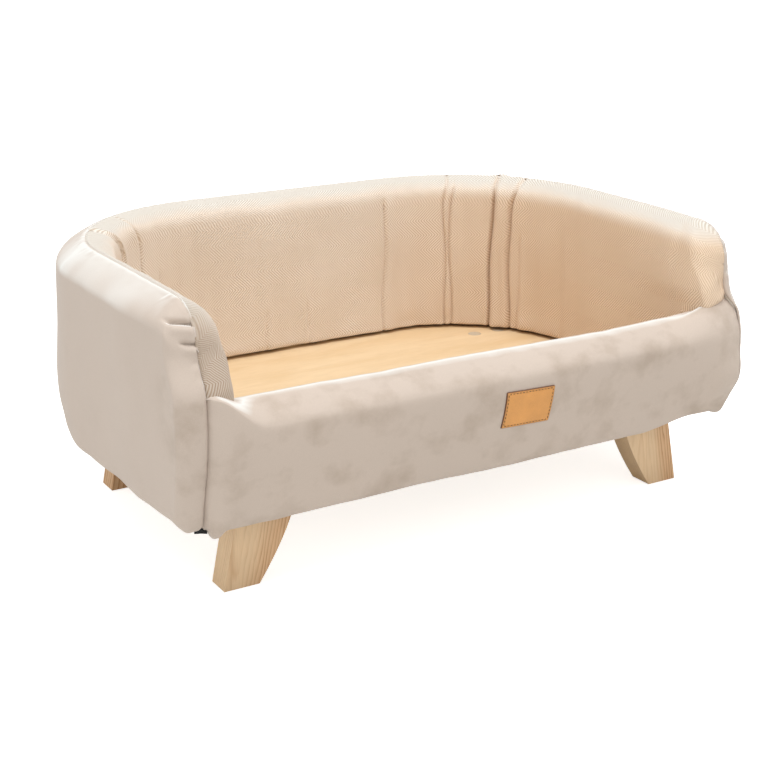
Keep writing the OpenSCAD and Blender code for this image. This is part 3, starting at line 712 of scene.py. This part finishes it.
def short_pile_velvet(finish):
    """Polyester velvet, knitted with a sheared pile under 1 mm long. The pile lies
    nearly one way, so the cloth looks even, with a painted sheen, a paler colour, on faces
    that look up and are seen at a slant. On the front, where it is touched most, it has soft
    darker smudges."""
    mat, add = new_material("velvet")
    at = add("TexCoord").outputs["Object"]
    # lean of the pile, changing over about 150 mm
    drift = add("TexNoise", {"Vector": at, "Scale": 6.5, "Detail": 2.0})
    # smudges 10 to 40 mm wide, full on the front 30 mm of the bed and faint behind
    smudge = add("TexNoise", {"Vector": at, "Scale": 24.0, "Detail": 4.0, "Roughness": 0.55})
    y = add("SeparateXYZ", {"Vector": at}).outputs[1]
    front = add("MapRange", {
        "Value": y, "From Min": -0.20, "From Max": -0.23, "To Min": 0.1, "To Max": 1.0})
    brushed = add("Math", {
        0: add("MapRange", {"Value": smudge, "From Min": 0.49, "From Max": 0.70}), 1: front},
        operation="MULTIPLY")
    # tufts of pile; real ones are 0.3 mm, drawn at 0.8 mm so that they show
    grain = add("TexNoise", {"Vector": at, "Scale": 1300.0, "Detail": 2.0, "Roughness": 0.6})
    tone = add("Mix", {"Factor": add("Math", {0: brushed, 1: 0.55}, operation="MULTIPLY"),
                       "A": finish.velvet, "B": finish.velvet_dark}, data_type="RGBA")
    # painted sheen: the colour goes pale where the cloth faces up and is seen at a slant, as the
    #     tips of the pile catch the light, and less so where it is seen so flatly that the near side of
    #     the tips is in shade
    upward = add("SeparateXYZ", {"Vector": add("NewGeometry").outputs["Normal"]}).outputs[2]
    slant = add("LayerWeight", {"Blend": 0.5}).outputs["Facing"]
    sheen = add("MapRange", {"Value": upward, "From Min": 0.12, "From Max": 0.55})
    for start, end, first, last in ((0.5, 0.72, 0.0, 0.72), (0.73, 0.86, 1.0, 0.15)):
        part = add("MapRange", {
            "Value": slant, "From Min": start, "From Max": end, "To Min": first, "To Max": last})
        sheen = add("Math", {0: sheen, 1: part}, operation="MULTIPLY")
    tone = add("Mix", {"Factor": sheen, "A": tone, "B": "E7E7E2"}, data_type="RGBA")
    tone = shaded(add, tone, ((drift, 0.985, 1.015), (grain, 0.965, 1.03)), 0.33, 0.67)
    height = add("Math", {0: brushed, 1: -0.5, 2: grain}, operation="MULTIPLY_ADD")
    bump = add("Bump", {"Strength": 0.2, "Distance": 0.0004, "Height": height})
    add("OutputMaterial", {"Surface": add("BsdfPrincipled", {
        "Base Color": tone, "Roughness": 0.85, "Specular IOR Level": 0.2, "Sheen Weight": 0.2,
        "Sheen Roughness": 0.45, "Sheen Tint": "FBFAF8", "Normal": bump})})
    return mat


def herringbone_twill(finish):
    """Woven polyester twill whose diagonal turns back in bands along the wall: a light
    and a dark yarn in lines, each line a row of short floats. The bands and lines are
    drawn at their real size, the floats at half a line, coarser than they are."""
    mat, add = new_material("herringbone")
    uv = add("UVMap", uv_map="cloth").outputs[0]
    sep = add("SeparateXYZ", {"Vector": uv})
    across, up = sep.outputs[0], sep.outputs[1]
    # yarns wander by up to 0.4 mm over 17 mm
    wander = add("TexNoise", {"Vector": uv, "Scale": 60.0, "Detail": 2.0})
    across = add("Math", {0: wander, 1: 0.0012, 2: across}, operation="MULTIPLY_ADD")
    # 1 m is added to keep all heights above zero; the bands stay where they are
    zig = add("Math", {0: add("Math", {0: up, 1: 1.0}, operation="ADD"), 1: finish.weave_band},
              operation="PINGPONG")
    # a line every weave_pitch across the 45 degree diagonal, so every pitch x sqrt 2 along
    turns = 2 * math.pi / (finish.weave_pitch * math.sqrt(2))
    parts = []
    for way, rate in (("ADD", turns), ("SUBTRACT", 2 * turns)):
        run = add("Math", {0: across, 1: zig}, operation=way)
        run = add("Math", {0: run, 1: rate}, operation="MULTIPLY")
        parts.append(add("Math", {0: run}, operation="SINE"))
    yarn = add("Math", {0: parts[1], 1: 0.25, 2: parts[0]}, operation="MULTIPLY_ADD")
    # flecks of 1.4 mm, and faded or crushed places 30 to 60 mm wide where the lines are weak
    fleck = add("TexNoise", {"Vector": uv, "Scale": 700.0, "Detail": 2.0})
    yarn = add("Math", {0: fleck, 1: 0.8, 2: yarn}, operation="MULTIPLY_ADD")
    worn = add("MapRange", {"Value": add("TexNoise", {"Vector": uv, "Scale": 18.0, "Detail": 3.0}),
                            "From Min": 0.38, "From Max": 0.62, "To Min": 0.35, "To Max": 1.0})
    lines = add("MapRange", {
        "Value": yarn, "From Min": -0.5, "From Max": 1.1, "To Min": -0.5, "To Max": 0.5})
    mixed = add("Math", {0: lines, 1: worn, 2: 0.5}, operation="MULTIPLY_ADD")
    tone = add("Mix", {"Factor": mixed, "A": finish.lining_dark, "B": finish.lining_light},
               data_type="RGBA")
    x, y, z = add("SeparateXYZ", {"Vector": add("TexCoord").outputs["Object"]}).outputs[:3]
    upward = add("SeparateXYZ", {"Vector": add("NewGeometry").outputs["Normal"]}).outputs[2]
    # painted shade, multiplied into the cloth's colour: on the left arm's end; a warm painted
    #     shade on the right arm's inner face; a cool painted shade on the upward faces of the crest.
    #     Each is full where one value is past its end and another past its last
    for shade, mask, start, end, within, first, last in (
            ("CEC7C1", y, -0.185, -0.225, x, 0.0, -0.1),
            ("F9ECDD", x, 0.08, 0.30, z, 0.304, 0.288),
            ("ECF3F8", upward, 0.5, 0.9, z, 0.25, 0.27)):
        share = add("Math", {
            0: add("MapRange", {"Value": mask, "From Min": start, "From Max": end}),
            1: add("MapRange", {"Value": within, "From Min": first, "From Max": last})},
            operation="MULTIPLY")
        darker = add("Mix", {"Factor": 1.0, "A": tone, "B": shade},
                     data_type="RGBA", blend_type="MULTIPLY")
        tone = add("Mix", {"Factor": share, "A": tone, "B": darker}, data_type="RGBA")
    # painted shadow on the turned-in edge at the board, 3 mm tall
    low = add("MapRange", {
        "Value": z, "From Min": BOARD_BOX[1][2] + 0.0035, "From Max": BOARD_BOX[1][2] + 0.0015,
        "To Min": 0.0, "To Max": 0.8})
    tone = add("Mix", {"Factor": low, "A": tone, "B": "75491F"}, data_type="RGBA")
    bump = add("Bump", {"Strength": 0.35, "Distance": 0.0005, "Height": yarn})
    add("OutputMaterial", {"Surface": add("BsdfPrincipled", {
        "Base Color": tone, "Roughness": 0.9, "Specular IOR Level": 0.2, "Sheen Weight": 0.15,
        "Sheen Roughness": 0.5, "Sheen Tint": "FFFFFF", "Normal": bump})})
    return mat


def planed_pine(finish, name, pith, split, lean, soft, outside):
    """Planed and sanded pine without varnish, sawn along the grain. The rings are about
    3.6 mm apart round a pith outside the plank, so a face shows pale early wood with thin
    orange-brown late-wood lines along the leg, wide apart where the rings lie flat to it
    and close where they cross it. Past a line along the leg the wood is redder."""
    mat, add = new_material("planed pine " + name.replace("_", " "))
    at = add("TexCoord").outputs["Object"]
    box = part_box(name)
    # distances from the pith: outwards, where the legs lean by 0.204 of their height and
    # stand 300 mm from the bed's middle, and forwards
    sep = add("SeparateXYZ", {"Vector": at})
    far = add("Math", {0: sep.outputs[0]}, operation="ABSOLUTE")
    out = add("Math", {0: sep.outputs[2], 1: 0.204, 2: far}, operation="MULTIPLY_ADD")
    dx = add("Math", {0: out, 1: 0.300 + pith[0] * MM}, operation="SUBTRACT")
    dy = add("Math", {0: sep.outputs[1], 1: (box[0][1] + box[1][1]) / 2 - pith[1] * MM},
             operation="SUBTRACT")
    # fibres run along the leg, so patterns are stretched about fifteen times upwards; the
    # rings wander over 26 mm across the grain and 400 mm along it
    fibres = add("Mapping", {"Vector": at, "Scale": (1.0, 1.0, 0.065)})
    warp = add("TexNoise", {"Vector": fibres, "Scale": 38.0, "Detail": 3.0})
    ring = add("Math", {0: add("Math", {0: dx, 1: 2.0}, operation="POWER"),
                        1: add("Math", {0: dy, 1: 2.0}, operation="POWER")}, operation="ADD")
    ring = add("Math", {0: warp, 1: 0.016, 2: add("Math", {0: ring, 1: 0.5}, operation="POWER")},
               operation="MULTIPLY_ADD")
    ring = add("Math", {0: ring, 1: 1 / 0.0036}, operation="MULTIPLY")
    ring = add("Math", {0: ring}, operation="FRACT")
    # through a ring: early wood, then late wood that darkens to a line and breaks off
    late = add("ValToRGB", {0: ring})
    wood = late.color_ramp
    wood.elements[1].color = (0, 0, 0, 1)
    for through, level in ((0.42, 0.1), (0.78, 0.6), (0.88, 1.0)):
        wood.elements.new(through).color = (level, level, level, 1)
    side = add("Math", {0: sep.outputs[2], 1: lean, 2: far}, operation="MULTIPLY_ADD")
    side = add("Math", {0: warp, 1: soft, 2: side}, operation="MULTIPLY_ADD")
    ends = (split - soft, split + soft) if outside else (split + soft, split - soft)
    crowd = add("MapRange", {"Value": side, "From Min": ends[0], "From Max": ends[1]})
    # the lines fade and darken over 17 mm across the grain and 250 mm along it
    streak = add("TexNoise", {"Vector": fibres, "Scale": 60.0, "Detail": 2.0})
    weak = add("MapRange", {
        "Value": streak, "From Min": 0.42, "From Max": 0.68, "To Min": 0.08, "To Max": 0.4})
    strong = add("MapRange", {
        "Value": streak, "From Min": 0.32, "From Max": 0.6, "To Min": 0.4, "To Max": 1.0})
    share = add("Mix", {"Factor": crowd, "A": weak, "B": strong})
    tone = add("Mix", {"Factor": add("Math", {0: crowd, 1: 0.6}, operation="MULTIPLY"),
                       "A": finish.pine, "B": "D2A67A"}, data_type="RGBA")
    line = add("Math", {0: late, 1: share}, operation="MULTIPLY")
    tone = add("Mix", {"Factor": line, "A": tone, "B": "A8713F"}, data_type="RGBA")
    # single fibres, real 0.03 mm, drawn at 1 mm
    fibre = add("TexNoise", {"Vector": fibres, "Scale": 900.0, "Detail": 2.0})
    tone = shaded(add, tone, ((fibre, 0.94, 1.04), (warp, 1.03, 0.96)))
    bump = add("Bump", {"Strength": 0.12, "Distance": 0.0004, "Height": fibre})
    add("OutputMaterial", {"Surface": add("BsdfPrincipled", {
        "Base Color": tone, "Roughness": 0.6, "Normal": bump})})
    return mat


def face_veneer(finish):
    """Sanded birch-faced plywood: a pale rotary-cut veneer with warm clouds drawn out
    along the bed's width, and small pores."""
    mat, add = new_material("plywood")
    at = add("TexCoord").outputs["Object"]
    # clouds 30 mm wide and 150 mm long, pores 1 mm wide and 20 mm long
    figure = add("TexNoise", {"Vector": add("Mapping", {"Vector": at, "Scale": (0.2, 1.0, 1.0)}),
                              "Scale": 30.0, "Detail": 5.0, "Roughness": 0.55, "Distortion": 0.6})
    pores = add("TexNoise", {"Vector": add("Mapping", {"Vector": at, "Scale": (0.05, 1.0, 1.0)}),
                             "Scale": 900.0, "Detail": 2.0})
    cloud = add("MapRange", {"Value": figure, "From Min": 0.36, "From Max": 0.66})
    tone = add("Mix", {"Factor": cloud, "A": finish.ply, "B": "D7B88D"}, data_type="RGBA")
    tone = shaded(add, tone, ((pores, 0.94, 1.02),), 0.3, 0.6)
    bump = add("Bump", {"Strength": 0.1, "Distance": 0.0003, "Height": pores})
    add("OutputMaterial", {"Surface": add("BsdfPrincipled", {
        "Base Color": tone, "Roughness": 0.6, "Normal": bump})})
    return mat


def tan_leather(finish):
    """Vegetable-tanned cowhide, cut with a hot blade: a tan face with a fine pebbled
    grain, and edges burnt dark."""
    mat, add = new_material("tan leather")
    at = add("TexCoord").outputs["Object"]
    # clouds 17 mm wide, pebbles 0.7 mm wide
    clouds = add("TexNoise", {"Vector": at, "Scale": 60.0, "Detail": 4.0})
    pebbles = add("TexVoronoi", {"Vector": at, "Scale": 1500.0})
    tone = shaded(add, finish.leather, ((clouds, 0.92, 1.05), (pebbles, 1.03, 0.94)))
    edge = add("Attribute", attribute_name="edge").outputs["Fac"]
    tone = add("Mix", {"Factor": edge, "A": tone, "B": "5A3520"}, data_type="RGBA")
    bump = add("Bump", {"Strength": 0.2, "Distance": 0.0002, "Height": pebbles})
    add("OutputMaterial", {"Surface": add("BsdfPrincipled", {
        "Base Color": tone, "Roughness": 0.5, "Normal": bump})})
    return mat


# finishes of the hidden and small pieces: colour, roughness, share by which spots change
# the colour, size of the spots in millimetres, and metallic
MOTTLED = {
    # open-cell polyurethane foam, sawn from a block: cream and dull, with pores of 1 mm
    "cut foam": ("D9CDBF", 0.95, 0.12, 1.1, 0.0),
    # waxed polyester thread, dark brown and a little shiny, plies 0.4 mm apart
    "waxed thread": ("3A281C", 0.45, 0.2, 0.4, 0.0),
    # sawn pine without a finish, with rough marks of the saw about 8 mm apart
    "sawn pine": ("D9BE93", 0.8, 0.12, 8, 0.0),
    # thin poplar plywood, rotary cut and unsanded, with clouds of 11 mm
    "poplar plywood": ("D8C29A", 0.75, 0.1, 11, 0.0),
    # steel with a thin black oxide, rubbed bright again, in spots of about 1 mm
    "blackened steel": ("CDBFA8", 0.55, 0.15, 1.25, 0.35),
    # bright zinc plate on steel, with spangles of 1 mm
    "zinc plate": ("C9CBCC", 0.35, 0.1, 1.1, 1.0),
    # turned brass, bare, with tool marks drawn at 1 mm
    "turned brass": ("C8A558", 0.3, 0.08, 1.1, 1.0),
    # woven nylon tape, black, with a coarse pile of hooks or loops 0.6 mm apart
    "woven tape": ("1B1B1C", 0.85, 0.5, 0.6, 0.0)}


def mottled(name, code, roughness, grain, size, metallic):
    """One colour, mottled by a share of itself in spots that also roughen its face."""
    mat, add = new_material(name)
    spots = add("TexNoise", {
        "Vector": add("TexCoord").outputs["Object"], "Scale": 1 / (size * MM), "Detail": 3.0})
    tone = shaded(add, code, ((spots, 1 - grain, 1 + grain / 2),))
    bump = add("Bump", {"Strength": 0.2, "Distance": size * MM / 4, "Height": spots})
    add("OutputMaterial", {"Surface": add("BsdfPrincipled", {
        "Base Color": tone, "Roughness": roughness, "Metallic": metallic, "Normal": bump})})
    return mat


def studio_paper():
    """White background paper, matt. To the camera it also glows, so that it shows white
    and still keeps a faint shadow under the bed."""
    mat, add = new_material("studio paper")
    ray = add("LightPath").outputs["Is Camera Ray"]
    glow = add("Math", {0: ray, 1: 0.72}, operation="MULTIPLY")
    add("OutputMaterial", {"Surface": add("BsdfPrincipled", {
        "Base Color": "E8E8E6", "Roughness": 0.9, "Specular IOR Level": 0.1,
        "Emission Color": "FFFFFF", "Emission Strength": glow})})
    return mat


def finish_of(context, kind):
    """The material of a name in the list above, or that a function makes, made once and
    shared."""
    if kind not in MADE:
        listed = kind in MOTTLED
        MADE[kind] = mottled(kind, *MOTTLED[kind]) if listed else kind(context.scene.bed_finish)
    return MADE[kind]


def repaint(names, material):
    """Gives CAD nodes that stay a better material."""
    for name in names:
        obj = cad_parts[name]
        if not obj.material_slots:
            obj.data.materials.append(material)
        for slot in obj.material_slots:
            slot.material = material


# ---------------------------------------------------------------- operators

class WallVelvet(bpy.types.Operator):
    """Velvet over the outside of the back and arms, from the top seam to the hem"""
    bl_idname = "bed.wall_velvet"
    bl_label = "Wall velvet"

    def execute(self, context):
        b = bed_sizes(context)
        t = in_runs((0, 0.2, 10), (0.2, 1, 20), (1, 2, 46), (2, 3, 9), (3, 4, 6))
        stations = [wall_stations(b, 26, 24, 162)] * 2
        p, uv = wall_cloth(b, stations, t, 1, b.hem_z + b.hem_r, outer_relief)
        obj = new_piece("wall_velvet", p, grid_faces(*p.shape[:2]), uv)
        thicken(obj, b.cloth_t)
        dress(obj, finish_of(context, short_pile_velvet), "velvet", "outer_cover")
        return {"FINISHED"}


class WallLining(bpy.types.Operator):
    """Herringbone lining of the wall's inside, gathered in folds round the rear corners"""
    bl_idname = "bed.wall_lining"
    bl_label = "Wall lining"

    def execute(self, context):
        b = bed_sizes(context)
        t = in_runs((0, 0.2, 10), (0.2, 1, 20), (1, 1.9, 48), (1.9, 2, 12))
        stations = [wall_stations(b, 26, 24, 290, folds) for folds in (LEFT_FOLDS, RIGHT_FOLDS)]
        foot = b.board_z + BOARD_GAP
        p, uv = wall_cloth(b, stations, t, -1, foot, lining_relief, tuck_in=behind_rail)
        obj = new_piece("wall_lining", p, grid_faces(*p.shape[:2])[:, ::-1], uv)
        thicken(obj, b.cloth_t)
        dress(obj, finish_of(context, herringbone_twill), "herringbone", "inner_lining")
        return {"FINISHED"}


class RailVelvet(bpy.types.Operator):
    """Velvet round the low front rail, with its sloping top and swollen front"""
    bl_idname = "bed.rail_velvet"
    bl_label = "Rail velvet"

    def execute(self, context):
        b = bed_sizes(context)
        t = in_runs((0, 1, 18), (1, 2, 60), (2, 3, 26), (3, 4, 10), (4, 5, 6))
        p, uv = rail_cloth(b, rail_places(b, 22, 16, 60), t, b.hem_z + b.hem_r)
        obj = new_piece("rail_velvet", p, grid_faces(*p.shape[:2])[:, ::-1], uv)
        thicken(obj, b.cloth_t)
        dress(obj, finish_of(context, short_pile_velvet), "velvet", "rail_cover")
        return {"FINISHED"}


class FoamCores(bpy.types.Operator):
    """Foam of the wall and of the rail, closed forms that fill the covers"""
    bl_idname = "bed.foam_cores"
    bl_label = "Foam cores"

    def execute(self, context):
        b = bed_sizes(context)
        # the foam's face lies 2.5 mm behind the cloth
        under = b.cloth_t + 2.5
        foot = b.board_z + BOARD_GAP
        stations = [wall_stations(b, 10, 10, 150, folds) for folds in (LEFT_FOLDS, RIGHT_FOLDS)]
        t = in_runs((0, 1, 12), (1, 2, 16))
        outside = wall_cloth(b, stations, t, 1, foot, outer_relief, under)[0]
        inside = wall_cloth(b, stations, t, -1, foot, lining_relief, under, behind_rail)[0]
        wall = np.concatenate([outside[:, ::-1], inside], axis=1)
        # its two ends are closed along the line half way between the faces
        ends = (wall + wall[:, ::-1]) / 2
        # the rail's foam ends 0.2 % short of the arms, in a point at the middle of its section
        t = in_runs((0, 1, 8), (1, 2, 30), (2, 3, 10))
        rail = rail_cloth(b, rail_places(b, 6, 5, 20) * 0.998, t, foot, under)[0]
        tips = rail.mean(axis=1, keepdims=True) + 0 * rail
        for name, p, shut, node in (
                ("wall_foam", wall, ends, "foam_wall"), ("rail_foam", rail, tips, "foam_rail")):
            p = np.concatenate([shut[:1], p, shut[-1:]])
            obj = new_piece(name, p, ring_faces(*p.shape[:2])[:, ::-1])
            weld(obj, 0.02)
            dress(obj, finish_of(context, "cut foam"), "foam", node)
        return {"FINISHED"}


class LeatherPatch(bpy.types.Operator):
    """Small bare leather patch on the rail's front, with a burnt edge and a row of stitches"""
    bl_idname = "bed.leather_patch"
    bl_label = "Leather patch"

    def execute(self, context):
        b = bed_sizes(context)
        width, height, radius = PATCH_SIZE
        # the face: outlines that shrink towards a line along the patch's middle, level but
        # for an edge that rounds over in 0.9 mm and a shallow groove under the stitches
        ring = rounded_outline(width, height, radius, 240)
        spine = np.stack([np.clip(ring[:, 0], -11, 11), 0 * ring[:, 1]], -1)
        share = in_runs((0, 0.8, 22), (0.8, 1, 24))[:, None, None]
        flat = spine + (ring - spine) * share
        to_edge = (1 - share[..., 0]) * 20 + 0 * flat[..., 0]
        edge_round = np.sqrt(1 - (1 - np.clip(to_edge / 0.9, 0, 1)) ** 2)
        high = PATCH_HIGH * edge_round - 0.35 * bump_at(to_edge, 2.4, 0.7)
        # its back lies 0.5 mm deep in the velvet
        p = np.concatenate([on_rail(b, flat, high), on_rail(b, flat[::-1], -0.5 + 0 * high)])
        obj = new_piece("leather_patch_face", p, ring_faces(*p.shape[:2]))
        weld(obj, 0.01)
        # the burn, darkest at the edge and gone 2 mm inside it
        co = np.empty(len(obj.data.vertices) * 3, dtype=np.float32)
        obj.data.vertices.foreach_get("co", co)
        laid = turned(co.reshape(-1, 3)[:, [0, 2]] / MM - patch_middle(), PATCH_TURN)
        burn = bump_at(np.maximum(edge_distance(laid, width, height, radius), 0), 0, 0.9)
        layer = obj.data.attributes.new("edge", "FLOAT", "POINT")
        layer.data.foreach_set("value", burn.astype(np.float32))
        dress(obj, finish_of(context, tan_leather), "tan_leather", "leather_patch")
        # 46 stitches, in a row 2.4 mm inside the edge
        p = stitch_row(b, rounded_outline(width - 4.8, height - 4.8, 1, 46))
        count, along, about = p.shape[:3]
        faces = (np.arange(count) * along * about)[:, None, None] + ring_faces(along, about)
        obj = new_piece("patch_stitches", p, faces.reshape(-1, 4)[:, ::-1])
        weld(obj, 0.01)
        dress(obj, finish_of(context, "waxed thread"), "tan_leather")
        return {"FINISHED"}


def stitch_row(b, row):
    """Stitches at the points of a row, each along the way to the next point: a spindle
    2.7 mm long and 0.64 mm thick, whose radius is a half circle over its length. It stands
    up from 1.45 mm above the velvet at its ends by a half circle 0.35 mm high."""
    ahead = np.roll(row, -1, axis=0) - row
    ahead /= np.linalg.norm(ahead, axis=1, keepdims=True)
    aside = np.stack([-ahead[:, 1], ahead[:, 0]], -1)
    s = np.linspace(-1, 1, 9)
    turn = np.linspace(0, 2 * np.pi, 8, endpoint=False)
    line = row[:, None] + ahead[:, None] * (s * 1.35)[None, :, None]
    lift = 1.45 + 0.35 * np.sqrt(1 - s ** 2 * 0.999)
    thick = 0.32 * np.sqrt(1 - s ** 2)[:, None]
    flat = line[:, :, None] + aside[:, None, None] * (thick * np.cos(turn))[None, :, :, None]
    return on_rail(b, flat, (lift[:, None] + thick * np.sin(turn))[None] + 0 * flat[..., 0])


def patch_middle():
    """Middle of the leather patch, to the right and up, in millimetres."""
    low, high = np.array(PATCH_BOX)[:, [0, 2]] / MM
    return (low + high) / 2 + PATCH_SHIFT


def turned(flat, degrees):
    """Flat places turned clockwise by an angle, as seen from the front."""
    a = math.radians(degrees)
    x, z = flat[..., 0], flat[..., 1]
    return np.stack([x * math.cos(a) - z * math.sin(a), x * math.sin(a) + z * math.cos(a)], -1)


def rounded_outline(width, height, radius, count):
    """Points evenly along a rectangle with rounded corners, round its middle, from the
    middle of its right side on, so that its upper and lower halves mirror each other."""
    w, h = width / 2 - radius, height / 2 - radius
    mids = np.array([(w, h), (-w, h), (-w, -h), (w, -h)])
    turn = (np.arange(4)[:, None] + np.linspace(0, 1, 9)) * np.pi / 2
    loop = (mids[:, None] + radius * np.stack([np.cos(turn), np.sin(turn)], -1)).reshape(-1, 2)
    loop = np.concatenate([loop, loop[:1]])
    far = np.concatenate([[0], np.cumsum(np.linalg.norm(np.diff(loop, axis=0), axis=1))])
    at = (np.linspace(0, far[-1], count, endpoint=False) - h) % far[-1]
    return np.stack([np.interp(at, far, loop[:, i]) for i in (0, 1)], -1)


def edge_distance(flat, width, height, radius):
    """Distance inwards from the edge of a rectangle with rounded corners."""
    q = np.abs(flat) - [width / 2 - radius, height / 2 - radius]
    return radius - np.linalg.norm(np.maximum(q, 0), axis=-1) - np.minimum(q.max(axis=-1), 0)


def on_rail(b, flat, high):
    """Flat places of the patch laid on the front of the rail, raised by a height."""
    at = turned(flat, -PATCH_TURN) + patch_middle()
    x, z = at[..., 0], at[..., 1]
    y = rail_face(b, x, z)
    y = y - rail_relief(b, np.stack([x, y, z], -1)) - high
    return np.stack([x, y, z], -1)


def rail_places(b, end, belly, middle):
    """Places along the rail, close together at its two ends: numbers of steps for the
    belly's start, for the rest of the first 60 mm and from there to the middle."""
    near, far = b.arm_x - b.belly_len, b.arm_x - 60
    half = in_runs((b.arm_x, near, end), (near, far, belly), (far, 0, middle + 1))
    return np.concatenate([-half, half[-2::-1]])


class TapeEnd(bpy.types.Operator):
    """End of the black fastening tape that peeps out under the left front corner"""
    bl_idname = "bed.tape_end"
    bl_label = "Tape end"

    def execute(self, context):
        b = bed_sizes(context)
        # a strip 13.6 mm wide and 10 mm tall that narrows by 6 % and leans back upwards,
        # with its long edges curled and its ends cut at a slant in a slight cosine wave
        s, v = np.linspace(-1, 1, 13)[:, None], np.linspace(0, 1, 9)[None, :]
        x = -b.arm_x - 1 + 6.8 * s * (1 - 0.06 * v)
        y = b.seam_y + b.tuck + 3 + 2 * v + 0.3 * s ** 2
        z = b.hem_z - 11.2 + 10 * v - 1.5 * s + 0.2 * np.cos(3 * s)
        obj = new_piece("tape_end", np.stack([x, y, z], -1), grid_faces(13, 9))
        thicken(obj, 1.3)
        dress(obj, finish_of(context, "woven tape"), "black_tape")
        return {"FINISHED"}


class Legs(bpy.types.Operator):
    """Four tapered pine legs, with their edges eased to 1.3 mm"""
    bl_idname = "bed.legs"
    bl_label = "Legs"

    def execute(self, context):
        for name in LEG_PLANKS:
            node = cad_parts[name]
            obj = bpy.data.objects.new(name + "_eased", node.data.copy())
            context.scene.collection.objects.link(obj)
            obj.data.materials.clear()
            weld(obj, 0.01)
            # edges where two faces meet at more than 40 degrees
            mod = obj.modifiers.new("eased edges", "BEVEL")
            mod.width = 1.3 * MM
            mod.segments = 3
            mod.limit_method = "ANGLE"
            mod.angle_limit = math.radians(40)
            dress(obj, planed_pine(context.scene.bed_finish, name, *LEG_PLANKS[name]), "pine", name)
        return {"FINISHED"}


class BoardsAndFixings(bpy.types.Operator):
    """Finishes of the plywood floor, the battens, the stiffening panels and the fixings"""
    bl_idname = "bed.boards_and_fixings"
    bl_label = "Boards and fixings"

    def execute(self, context):
        kinds = (
            (face_veneer, ("base_board",)), ("sawn pine", BATTEN_NODES),
            ("poplar plywood", PANEL_NODES), ("blackened steel", ("leg_bolts",)),
            ("zinc plate", ("batten_screws", "panel_screws")),
            ("turned brass", ("leg_inserts",)), ("woven tape", ("hook_tape", "loop_tape")))
        for kind, names in kinds:
            repaint(names, finish_of(context, kind))
        return {"FINISHED"}


class Studio(bpy.types.Operator):
    """Plain pale floor, soft lamps and the camera"""
    bl_idname = "bed.studio"
    bl_label = "Studio"

    def execute(self, context):
        # a floor 180 m wide, so that its edge lies at the horizon, 0.5 mm under the feet
        side = np.linspace(-90, 90, 3)
        x, y = np.meshgrid(side, side, indexing="ij")
        level = 0 * x - 0.0005
        floor = new_piece("studio_floor", np.stack([x, y, level], -1) / MM, grid_faces(3, 3))
        floor.data.materials.append(studio_paper())
        world = bpy.data.worlds.new("studio")
        context.scene.world = world
        world.use_nodes = True
        tree = world.node_tree
        tree.nodes.clear()
        add = partial(add_node, tree)
        # pure white to the camera and in reflections, and at 0.72 as light on the bed
        path = add("LightPath")
        seen = add("Math", {0: path.outputs["Is Camera Ray"], 1: path.outputs["Is Glossy Ray"]},
                   operation="MAXIMUM")
        seen = add("Math", {0: seen, 1: path.outputs["Is Transmission Ray"]}, operation="MAXIMUM")
        strength = add("MapRange", {"Value": seen, "To Min": 0.72, "To Max": 1.0})
        add("OutputWorld", {"Surface": add("Background", {"Color": "FFFFFF", "Strength": strength})})
        # square lamps: place and aim in metres, width in metres, watts, colour
        white, cool = (1, 1, 1), (0.95, 1.0, 1.05)
        for name, spot, aim, size, power, colour in (
                ("top light", (0.0, -0.35, 2.2), (0, 0, 0.1), 1.5, 36, cool),
                ("front light", (0.3, -2.4, 1.4), (0, 0, 0.15), 1.6, 8, white),
                ("left light", (-2.4, -0.2, 0.45), (0, 0, 0.2), 1.2, 10, cool)):
            lamp = bpy.data.lights.new(name, "AREA")
            lamp.shape, lamp.size, lamp.energy, lamp.color = "SQUARE", size, power, colour
            obj = bpy.data.objects.new(name, lamp)
            obj.location = spot
            obj.rotation_euler = (Vector(aim) - Vector(spot)).to_track_quat("-Z", "Y").to_euler()
            context.scene.collection.objects.link(obj)
        # lens in millimetres, place in metres and turn in degrees, solved from the bed's edges
        lens = bpy.data.cameras.new("photo view")
        lens.lens, lens.sensor_width = 68.64, 36
        camera = bpy.data.objects.new("photo view", lens)
        camera.location = (-0.8626, -1.4607, 0.6825)
        camera.rotation_euler = tuple(math.radians(a) for a in (71.244, 0, -31.064))
        context.scene.collection.objects.link(camera)
        context.scene.camera = camera
        context.scene.view_settings.view_transform = "Standard"
        return {"FINISHED"}


class BedPanel(bpy.types.Panel):
    """Sizes, finishes and steps of the dog sofa bed"""
    bl_idname = "VIEW3D_PT_dog_sofa_bed"
    bl_label = "Dog sofa bed"
    bl_space_type = "VIEW_3D"
    bl_region_type = "UI"
    bl_category = "Dog sofa bed"

    def draw(self, context):
        for group in (context.scene.bed_shape, context.scene.bed_finish):
            box = self.layout.box()
            for key in group.__annotations__:
                box.prop(group, key)
        for step in STEPS:
            self.layout.operator(step.bl_idname)


STEPS = (WallVelvet, WallLining, RailVelvet, FoamCores, LeatherPatch, TapeEnd, Legs,
         BoardsAndFixings, Studio)
CLASSES = (BedShape, BedFinish, *STEPS, BedPanel)


def register():
    for cls in CLASSES:
        bpy.utils.register_class(cls)
    bpy.types.Scene.bed_shape = bpy.props.PointerProperty(type=BedShape)
    bpy.types.Scene.bed_finish = bpy.props.PointerProperty(type=BedFinish)


def unregister():
    del bpy.types.Scene.bed_finish
    del bpy.types.Scene.bed_shape
    for cls in reversed(CLASSES):
        bpy.utils.unregister_class(cls)


def main():
    register()
    for step in STEPS:
        getattr(bpy.ops.bed, step.bl_idname.split(".")[1])()


if __name__ == "__main__":
    main()
